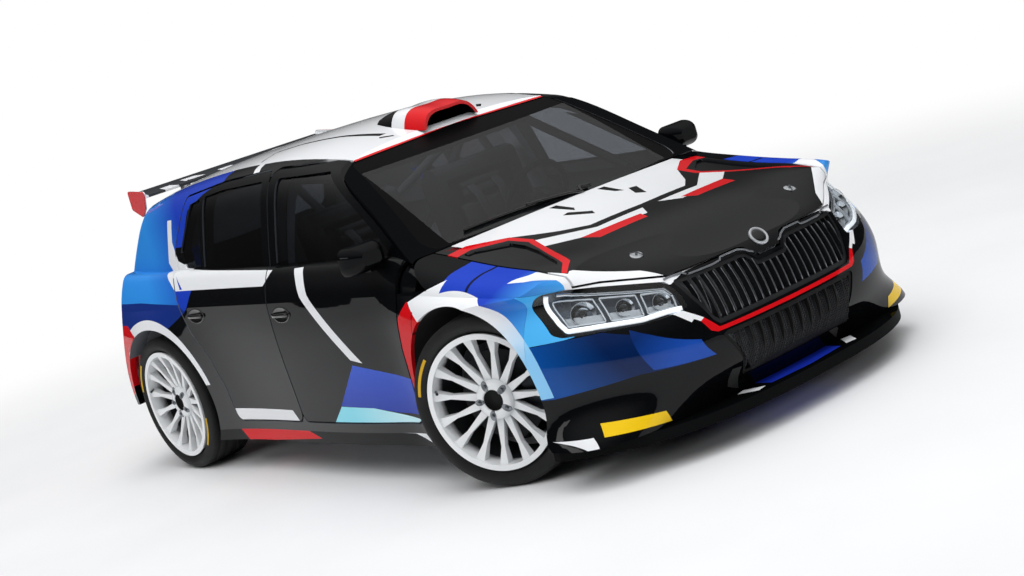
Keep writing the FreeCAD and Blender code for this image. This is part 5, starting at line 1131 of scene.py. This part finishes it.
@dataclass
class Nose(Maker):
    """The nose's bright strip, slat edges, blank badge and bonnet pins, and the intake's mesh."""

    sizes: NoseSizes = NoseSizes()

    def __post_init__(self) -> None:
        """Finds the surfaces."""
        self.body = Skin(self.frame, "bonnet", "front_bumper")
        self.grille = Skin(self.frame, "upper_grille")
        self.intake = Skin(self.frame, "lower_grille")

    def bonnet_strip(self) -> Form:
        """The bright strip that follows the grille's upper edge and dips in a V in the middle."""
        path = along_path(self.sizes.strip, 110)
        hits, normals = self.body.meet(rows(self.sizes.ray_x, *path.T), -AHEAD)
        hits[:, :1] = eased(hits[:, :1], 4)
        return ribbon(hits, eased(normals, 4), *self.sizes.strip_size)

    def slat_edges(self) -> list[Form]:
        """A narrow bright edge down the front of each upright slat."""
        z = self.sizes
        forms = []
        for y in np.linspace(-z.slat_half, z.slat_half, z.slats + 2)[1:-1]:
            rise = np.linspace(at(z.slat_low, abs(y)), at(z.slat_high, abs(y)), 9)
            hits, _ = self.grille.meet(rows(z.ray_x, y, rise), -AHEAD, 0.3)
            depth = np.polyval(np.polyfit(hits[:, 2], hits[:, 0], 2), hits[:, 2])
            forms.append(ribbon(rows(depth, y, hits[:, 2]), z.slat_normal, *z.slat_size))
        return forms

    def intake_mesh(self) -> list[Form]:
        """A net of fine wires on the intake's bars, on one surface fitted to the bars' fronts."""
        z = self.sizes

        def terms(a: np.ndarray, b: np.ndarray) -> np.ndarray:
            """The terms of the surface's curve at places across and up."""
            return np.column_stack([np.ones_like(a), a ** 2, b, b ** 2])

        y, height = (part.ravel() for part in np.meshgrid(
            np.linspace(-z.probe_half, z.probe_half, 41), np.linspace(*z.probe_rise, 7)))
        hits, _ = self.intake.meet(rows(z.mesh_x, y, height), -AHEAD, 0.2)
        near = hits[:, 0] > np.quantile(hits[:, 0], z.bars_share)
        fit = np.linalg.lstsq(terms(y[near], height[near]), hits[near, 0], rcond=None)[0]
        lines = []
        for place in np.arange(-z.mesh_half, z.mesh_half + 1e-4, z.mesh_step):
            rise = np.linspace(at(z.mesh_low, abs(place)), at(z.mesh_high, abs(place)), 6)
            lines.append((np.full(6, place), rise, z.mesh_offsets[0]))
        for rise in np.arange(*z.mesh_rise, z.mesh_step):
            half = np.interp(rise, *np.transpose(z.mesh_low[1:])[::-1])
            lines.append((np.linspace(-half, half, 31), np.full(31, rise), z.mesh_offsets[1]))
        return [ribbon(rows(terms(a, b) @ fit + offset, a, b), AHEAD, *z.mesh_size) for a, b, offset in lines]

    def pins(self) -> None:
        """Builds the bonnet's two pins, each on its plate with a bent clip through it."""
        z = self.sizes
        plates, clips = [], []
        for s in SIDES.values():
            x, y = z.pin_place
            (place,), (normal,) = self.body.meet([(x, s * y, 1.0)], -UP)
            plates.append(turned(z.plate, place, normal, 36))
            clips.append(turned(z.pin, place, normal, 16))
            reach = np.linspace(-z.clip_half, z.clip_half, 15)
            rise = z.clip_rise[0] + z.clip_rise[1] * np.cos(reach / z.clip_half * math.pi)
            along = unit(np.cross(normal, (z.clip_way[0], s * z.clip_way[1], 0.0)))
            path = place + np.outer(reach, along) + np.outer(rise, normal)
            clips.append(ribbon(path, normal, *z.clip_size))
        self.add("bonnet_pin_plates", "silver trim", plates, "bonnet")
        self.add("bonnet_pin_clips", "steel nut", clips, "bonnet")

    def build(self) -> None:
        """Builds the pieces."""
        self.add("grille_strip", "dark chrome", [self.bonnet_strip()], "bonnet")
        self.add("slat_edges", "dark chrome", self.slat_edges())
        self.add("intake_mesh", "mesh wire", self.intake_mesh())
        (place,), (normal,) = self.body.meet([(1.88, 0.0, self.sizes.badge_height)], -AHEAD)
        self.add("badge_ring", "silver trim", [turned(self.sizes.ring, place, normal, 48)], "bonnet")
        self.add("badge_face", "gloss black", [turned(self.sizes.face, place, normal)], "bonnet")
        self.pins()


# ---------------------------------------------------------------- doors, tail, wiper, seats and engine bay

@dataclass(frozen=True)
class HandleSizes:
    """A door handle: places on the doors, x and z, the dish's profile and the paddle's line."""

    places: tuple = (("front_door", -0.081, 0.723), ("rear_door", -0.859, 0.748))
    start_y: float = 0.85
    dish: Pairs = ((0.003, 0.0006), (0.022, 0.0008), (0.0300, 0.0028), (0.0325, 0.0036), (0.0345, 0.0022),
                   (0.035, -0.003))
    dish_stretch: float = 2.1
    half: float = 0.064
    rise: float = 0.010
    drop: float = 0.006
    size: Pair = (0.019, 0.008)


@dataclass
class Doors(Maker):
    """Oval handle recesses with paddle handles, on all four doors."""

    sizes: HandleSizes = HandleSizes()

    def build(self) -> None:
        """Builds the handles."""
        z = self.sizes
        for door, x, height in z.places:
            for name, s in SIDES.items():
                body = f"{door}_{name}"
                (place,), (normal,) = Skin(self.frame, body).meet([(x, s * z.start_y, height)], (0, -s, 0))
                self.add(f"{body}_dish", "gloss black",
                         [turned(z.dish, place, normal, 48, z.dish_stretch)], body)
                reach = np.linspace(-z.half, z.half, 15)
                rise = z.rise - z.drop * (reach / z.half) ** 4
                path = place + np.outer(reach, AHEAD) + np.outer(rise, normal)
                self.add(f"{body}_handle", "gloss black", [ribbon(path, normal, *z.size)], body)


@dataclass(frozen=True)
class SeatSizes:
    """A bucket seat's pads and belts.

    A pad is a name, a line in side view (x, z), a half width, a thickness and the places of its seams.
    """

    middle: float = 0.345
    pads: tuple = (
        ("base", ((0.455, 0.402), (0.330, 0.385), (0.200, 0.366), (0.075, 0.372)), 0.170, 0.050,
         (0.33, 0.66)),
        ("back", ((0.030, 0.450), (-0.030, 0.580), (-0.072, 0.730), (-0.105, 0.880)), 0.165, 0.046,
         (0.25, 0.5, 0.75)),
        ("head", ((-0.112, 0.900), (-0.122, 0.940), (-0.128, 0.975)), 0.120, 0.040, (0.5,)),
    )
    seam_width: float = 0.012
    seam_depth: float = 0.30
    edge: float = 0.04
    roundness: float = 0.6
    bolster: float = 0.38
    under: float = 0.12
    belt: Pairs = ((-0.130, 0.950), (-0.085, 0.900), (-0.030, 0.730), (0.015, 0.580), (0.100, 0.445),
                   (0.180, 0.425))
    belt_shift: Pair = (0.022, 0.008)
    belt_spread: Pair = (0.075, 0.25)
    belt_normal: Point = (0.8, 0.0, 0.6)
    belt_size: Pair = (0.046, 0.003)


@dataclass
class Seats(Maker):
    """Sewn pads laid in the bucket seats' shells, and the webbing of their belts."""

    sizes: SeatSizes = SeatSizes()

    def pad(self, line: Pairs, half: float, thick: float, seams: tuple[float, ...], middle: float) -> Form:
        """A crowned closed cushion along a line, with raised sides and sewn channels across it.

        The height above the shell falls to nought at the ends as the fourth root of one minus the
        fourth power of the place, and each seam draws it in over 12 mm.
        """
        z, count = self.sizes, 45
        path = along_path(line, count)
        length = np.linalg.norm(np.diff(path, axis=0), axis=1).sum()
        way = unit(np.gradient(path, axis=0))
        normal = np.stack([way[:, 1], -way[:, 0]], 1)
        normal *= np.where(normal.sum(1) > 0, 1, -1)[:, None]
        place = np.linspace(-1, 1, count)
        crown = (1 - np.abs(place) ** 4) ** 0.25 * (1 - z.edge) + z.edge
        for seam in seams:
            crown *= 1 - z.seam_depth * np.exp(-(((place + 1) / 2 - seam) * length / z.seam_width) ** 2)
        angle = np.linspace(0, 2 * math.pi, 40, endpoint=False)
        across, rise = (np.sign(part) * np.abs(part) ** z.roundness
                        for part in (np.cos(angle), np.sin(angle)))
        lift = np.where(rise > 0, rise * (1 - z.bolster + z.bolster * across ** 4), rise * z.under)
        lift = lift * thick * crown[:, None]
        return closed_form(rows(path[:, 0, None] + normal[:, 0, None] * lift,
                                middle + across * half * (0.90 + 0.10 * crown[:, None]),
                                path[:, 1, None] + normal[:, 1, None] * lift))

    def build(self) -> None:
        """Builds pads and belts for both seats."""
        z = self.sizes
        line = along_path(z.belt, 40) + z.belt_shift
        for name, s in SIDES.items():
            for part, *pad in z.pads:
                obj = self.add(f"seat_{part}_{name}", "seat cloth", [self.pad(*pad, s * z.middle)])
            belts = []
            for hand in (-1, 1):
                spread = hand * z.belt_spread[0] * np.linspace(1.0, z.belt_spread[1], len(line))
                path = rows(line[:, 0], s * z.middle + spread, line[:, 1])
                belts.append(ribbon(path, z.belt_normal, *z.belt_size))
            self.add(f"belts_{name}", "webbing", belts)


@dataclass(frozen=True)
class WiperSizes:
    """The wiper's blade and arm seen from above: a line, its lift off the screen, its width and height."""

    start_z: float = 0.95
    parts: tuple = (
        ("blade", ((0.845, -0.50), (0.880, -0.20), (0.905, 0.10)), 40, 0.002, (0.008, 0.012)),
        ("arm", ((0.945, 0.12), (0.905, 0.00), (0.875, -0.20)), 24, 0.012, (0.012, 0.008)),
    )


@dataclass
class Wiper(Maker):
    """The wiper at rest along the foot of the windscreen."""

    sizes: WiperSizes = WiperSizes()

    def build(self) -> None:
        """Builds the blade and its arm."""
        skin = Skin(self.frame, "windscreen")
        for name, line, count, lift, size in self.sizes.parts:
            hits, normals = skin.meet(rows(*along_path(line, count).T, self.sizes.start_z), -UP)
            self.add(f"wiper_{name}", "gloss black", [ribbon(hits + normals * lift, normals, *size)])


@dataclass(frozen=True)
class TailSizes:
    """Lines seen from behind, pairs of y and z, and the widths and heights of their strips."""

    start_x: float = -2.3
    back: float = 0.4
    handle: Pairs = ((-0.16, 0.735), (0.16, 0.735))
    handle_size: Pair = (0.020, 0.010)
    bar_reach: Pair = (0.64, 0.78)
    bar_rises: Pair = (0.800, 0.762)
    bar_size: Pair = (0.009, 0.003)


@dataclass
class Tail(Maker):
    """Small pieces at the back: a handle bar on the tailgate, and light bars on the tail lamps."""

    sizes: TailSizes = TailSizes()

    def bar(self, skin: Skin, ends: Pairs, size: Pair) -> Form:
        """A raised strip that follows a surface along a line seen from behind."""
        z = self.sizes
        return ribbon(*skin.meet(rows(z.start_x, *along_path(ends, 40).T), AHEAD, z.back), *size)

    def build(self) -> None:
        """Builds the pieces."""
        z = self.sizes
        self.add("tailgate_handle", "dark chrome",
                 [self.bar(Skin(self.frame, "tailgate"), z.handle, z.handle_size)], "tailgate")
        lamps = Skin(self.frame, "tail_lamps")
        self.add("tail_light_bars", "light guide red", [
            self.bar(lamps, tuple((s * y, rise) for y in z.bar_reach), z.bar_size)
            for s in SIDES.values() for rise in z.bar_rises])


@dataclass(frozen=True)
class BaySizes:
    """Places, lines and profiles of what lies on the engine."""

    cover: Point = (1.085, 0.235, 0.676)
    cover_size: Pair = (0.230, 0.024)
    ribs: int = 9
    rib_span: float = 0.20
    rib: Point = (1.00, 1.17, 0.699)
    rib_size: Pair = (0.016, 0.007)
    plenum: Pairs = ((0.012, -0.236), (0.026, -0.232), (0.031, -0.220), (0.031, 0.220), (0.026, 0.232),
                     (0.012, 0.236))
    plenum_place: Pair = (1.262, 0.712)
    runners: tuple[float, ...] = (-0.165, -0.055, 0.055, 0.165)
    runner: Pairs = ((1.262, 0.712), (1.262, 0.735), (1.205, 0.735), (1.175, 0.690), (1.175, 0.668))
    runner_radius: float = 0.018
    inlet: tuple = (0.026, (1.262, 0.222, 0.712), (1.262, 0.30, 0.700), (1.34, 0.33, 0.64),
                    (1.46, 0.30, 0.56))
    coolant: tuple = (
        (0.019, (1.295, -0.19, 0.60), (1.36, -0.19, 0.61), (1.46, -0.26, 0.58), (1.60, -0.26, 0.55),
         (1.675, -0.24, 0.54)),
        (0.019, (1.295, 0.10, 0.42), (1.38, 0.10, 0.41), (1.52, 0.20, 0.42), (1.675, 0.22, 0.44)),
        (0.010, (1.02, -0.285, 0.60), (1.02, -0.31, 0.66), (0.96, -0.26, 0.72), (0.95, -0.12, 0.73),
         (0.945, 0.0, 0.66)),
    )
    cap: Pairs = ((0.006, 0.020), (0.022, 0.019), (0.0265, 0.014), (0.027, 0.0), (0.027, -0.006))
    cap_place: Point = (1.13, 0.105, 0.706)
    brace: tuple = (0.014, (1.06, -0.44, 0.700), (1.02, -0.36, 0.760), (1.02, 0.36, 0.760),
                    (1.06, 0.44, 0.700))
    pulleys: tuple = ((1.20, 0.36, 0.066), (1.10, 0.52, 0.045), (1.235, 0.53, 0.034))
    pulley_y: float = -0.284
    pulley: Pairs = ((0.55, 0.018), (0.75, 0.008), (0.9, 0.020), (1.0, 0.021), (0.94, 0.012), (1.0, 0.003),
                     (1.0, -0.004))
    pulley_bore: Pair = (0.010, 0.020)


@dataclass
class EngineBay(Maker):
    """What lies on the engine under the bonnet: ribbed cover, inlet and coolant pipes, brace and pulleys."""

    sizes: BaySizes = BaySizes()

    def build(self) -> None:
        """Builds the pieces."""
        z = self.sizes
        x, half, height = z.cover
        covers = [ribbon(rows(x, np.linspace(-half, half, 21), height), UP, *z.cover_size)]
        for y in np.linspace(-z.rib_span, z.rib_span, z.ribs):
            covers.append(ribbon(rows(np.linspace(*z.rib[:2], 9), y, z.rib[2]), UP, *z.rib_size))
        self.add("engine_cover", "cover paint red", covers)
        x, height = z.plenum_place
        inlets = [turned(z.plenum, (x, 0.0, height), (0, 1, 0), 32)]
        inlets += [pipe([(x, y, rise) for x, rise in z.runner], z.runner_radius) for y in z.runners]
        inlets.append(pipe(z.inlet[1:], z.inlet[0]))
        self.add("inlet_pipes", "silver trim", inlets)
        self.add("coolant_pipes", "pipe coating", [pipe(points, radius) for radius, *points in z.coolant])
        self.add("oil_cap", "gloss black", [turned(z.cap, z.cap_place, UP, 12)])
        self.add("brace", "silver trim", [pipe(z.brace[1:], z.brace[0])])
        self.add("pulleys", "steel pipe", [
            turned([z.pulley_bore, *((share * radius, place) for share, place in z.pulley)],
                   (x, z.pulley_y, height), (0, -1, 0)) for x, height, radius in z.pulleys])


# ---------------------------------------------------------------- studio

@dataclass(frozen=True)
class CameraView:
    """The camera's place and turn, in metres and radians, as found from the photograph."""

    place: Point = (6.418, -4.401, 1.673)
    yaw: float = 2.514
    pitch: float = -0.152
    roll: float = -0.294
    lens: float = 62.246


@dataclass(frozen=True)
class Light:
    """One soft rectangular light: where it is, what it faces, and whether gloss mirrors it."""

    name: str
    place: Point
    target: Point
    size: Pair
    power: float
    mirrored: bool = False


LIGHTS = (
    Light("overhead", (0.0, 0.5, 5.0), (0.0, 0.0, 0.6), (7.5, 3.6), 110.0),
    Light("front fill", (8.0, -1.0, 2.6), (1.0, 0.0, 0.5), (3.0, 1.4), 60.0),
    Light("side fill", (-1.5, -7.0, 2.6), (0.0, -0.8, 0.6), (5.0, 1.0), 45.0, mirrored=True),
    Light("cabin light", (-0.25, 0.0, 1.20), (-0.25, 0.0, 0.0), (0.8, 0.8), 14.0),
)


def place_object(name: str, data: bpy.types.ID, matrix: Matrix | None = None) -> bpy.types.Object:
    """Links a new object to the scene, at a place."""
    obj = bpy.data.objects.new(name, data)
    if matrix is not None:
        obj.matrix_world = matrix
    bpy.context.scene.collection.objects.link(obj)
    return obj


@dataclass
class Studio:
    """A pale floor, soft lights and the camera."""

    view: CameraView = CameraView()
    sky_way: Point = (-0.25, 0.30, -1.0)
    sky_spread_deg: float = 70.0
    sky_power: float = 1.85
    floor_half: float = 60.0

    def camera(self) -> None:
        """Places the camera."""
        v = self.view
        level = math.cos(v.pitch)
        ahead = np.array([level * math.cos(v.yaw), level * math.sin(v.yaw), math.sin(v.pitch)])
        right = unit(np.cross(ahead, UP))
        up = np.cross(right, ahead)
        c, s = math.cos(v.roll), math.sin(v.roll)
        right, up = c * right + s * up, -s * right + c * up
        data = bpy.data.cameras.new("camera")
        data.sensor_width = 36.0
        data.lens = v.lens
        data.clip_end = 200.0
        turn = np.stack([right, up, -ahead], 1)
        bpy.context.scene.camera = place_object(
            "camera", data, Matrix([[*row, p] for row, p in zip(turn, v.place)] + [[0, 0, 0, 1]]))

    def lamp(self, light: Light) -> None:
        """Adds one soft light, brightest in the middle of its rectangle."""
        data = bpy.data.lights.new(light.name, "AREA")
        data.shape = "RECTANGLE"
        data.size, data.size_y = light.size
        data.energy = light.power
        data.use_nodes = True
        tree = data.node_tree
        across = put(tree, "SeparateXYZ", (put(tree, "NewGeometry")["Parametric"],))
        falls = []
        for axis in (0, 1):
            off = put(tree, "Math", (across[axis], 0.5), operation="SUBTRACT")[0]
            edge = put(tree, "Math", (off,), operation="ABSOLUTE")[0]
            falls.append(put(tree, "MapRange", (edge, 0.5, 0.12, 0.0, 1.7),
                             interpolation_type="SMOOTHSTEP")[0])
        glow = put(tree, "Math", tuple(falls), operation="MULTIPLY")[0]
        put(tree, "OutputLight", (put(tree, "Emission", ((1, 1, 1, 1), glow))[0],))
        way = Vector(light.target) - Vector(light.place)
        turn = way.to_track_quat("-Z", "Y").to_matrix().to_4x4()
        obj = place_object(light.name, data, Matrix.Translation(light.place) @ turn)
        obj.visible_glossy = light.mirrored
        obj.visible_camera = obj.visible_transmission = False

    def world(self) -> None:
        """Makes the sky: pale grey from above, darker at the sides, and white to the camera."""
        world = bpy.data.worlds.new("studio")
        world.use_nodes = True
        bpy.context.scene.world = world
        tree = world.node_tree
        tree.nodes.clear()
        path = put(tree, "LightPath")
        seen = put(tree, "Math", (path["Is Camera Ray"], path["Is Transmission Ray"]), operation="MAXIMUM")[0]
        height = put(tree, "SeparateXYZ", (put(tree, "TexCoord")["Generated"],))[2]
        glow = put(tree, "MapRange", (height, 0.15, 1.0, 0.03, 0.55), interpolation_type="SMOOTHSTEP")[0]
        grey = put(tree, "CombineColor", (glow, glow, glow))[0]
        soft = put(tree, "Background", (grey, 1.0))
        white = put(tree, "Background", ((1, 1, 1, 1), 1.0))
        put(tree, "OutputWorld", (put(tree, "MixShader", (seen, soft[0], white[0]))[0],))

    def sun(self) -> None:
        """Adds a distant soft light that shines down, as bright at any distance."""
        data = bpy.data.lights.new("sky light", "SUN")
        data.angle = math.radians(self.sky_spread_deg)
        data.energy = self.sky_power
        turn = Vector(self.sky_way).to_track_quat("-Z", "Y").to_matrix().to_4x4()
        place_object("sky light", data, turn).visible_glossy = False

    def floor_finish(self) -> Material:
        """Pale studio paint that turns to plain white far from the car, so that no horizon shows."""
        mat, tree = fresh("floor paint pale")
        where = put(tree, "TexCoord")["Object"]
        cloud = put(tree, "TexNoise", {"Vector": where, "Scale": 0.9, "Detail": 4.0})[0]
        speck = put(tree, "TexNoise", {"Vector": where, "Scale": 1 / 0.02, "Detail": 2.0})[0]
        colour = put(tree, "Mix", {0: cloud, 6: linear("#e4e5e7"), 7: linear("#f1f2f3")}, data_type="RGBA")[2]
        bump = put(tree, "Bump", {"Height": speck, "Strength": 0.2, "Distance": 0.0005})[0]
        paint = put(tree, "BsdfPrincipled", {
            "Base Color": colour, "Roughness": 0.55, "Normal": bump, "Specular IOR Level": 0.2})
        far = put(tree, "VectorMath", (where,), operation="LENGTH")["Value"]
        share = put(tree, "MapRange", (far, 3.0, 7.5), interpolation_type="SMOOTHSTEP")[0]
        seen = put(tree, "LightPath")["Is Camera Ray"]
        white = put(tree, "Emission", ((1, 1, 1, 1), 1.0))
        share = put(tree, "Math", (share, seen), operation="MULTIPLY")[0]
        put(tree, "OutputMaterial", (put(tree, "MixShader", (share, paint[0], white[0]))[0],))
        return mat

    def floor(self) -> None:
        """Makes the pale floor."""
        mesh = bpy.data.meshes.new("floor")
        half = self.floor_half
        corners = [(-half, -half, 0), (half, -half, 0), (half, half, 0), (-half, half, 0)]
        mesh.from_pydata(corners, [], [(0, 1, 2, 3)])
        mesh.materials.append(self.floor_finish())
        place_object("floor", mesh)

    def build(self) -> None:
        """Builds the studio."""
        self.camera()
        self.world()
        self.floor()
        self.sun()
        for light in LIGHTS:
            self.lamp(light)
        bpy.context.scene.view_settings.view_transform = "Standard"


def dress(frame: dict) -> dict[str, Material]:
    """Gives every CAD node its finish, and returns the finishes of small pieces by name."""
    finishes = {finish.name: finish.build() for finish in PLAINS}
    given = {node: finishes[name] for node, name in NODE_FINISHES.items()}
    for name, finish in LACQUERS.items():
        given[name] = given[name.replace("right", "left")] = finish.build()
    for end in ENDS:
        for name in SIDES:
            mat = RimPaint(f"wheel lacquer {end} {name}", end, name).build()
            finishes[mat.name] = given[f"rim_{end}_{name}"] = mat
    for node, mat in given.items():
        for slot in frame["nodes"][node].material_slots:
            slot.material = mat
    return finishes


def main(frame: dict) -> None:
    """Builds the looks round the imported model."""
    logging.basicConfig(level=logging.INFO)
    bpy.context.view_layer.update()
    finishes = dress(frame)
    for maker in (Tyres, WheelFittings, Lamps, Nose, Doors, Seats, Wiper, Tail, EngineBay):
        maker(frame, finishes).build()
    Studio().build()


if __name__ == "__main__":
    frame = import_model()
    main(frame)
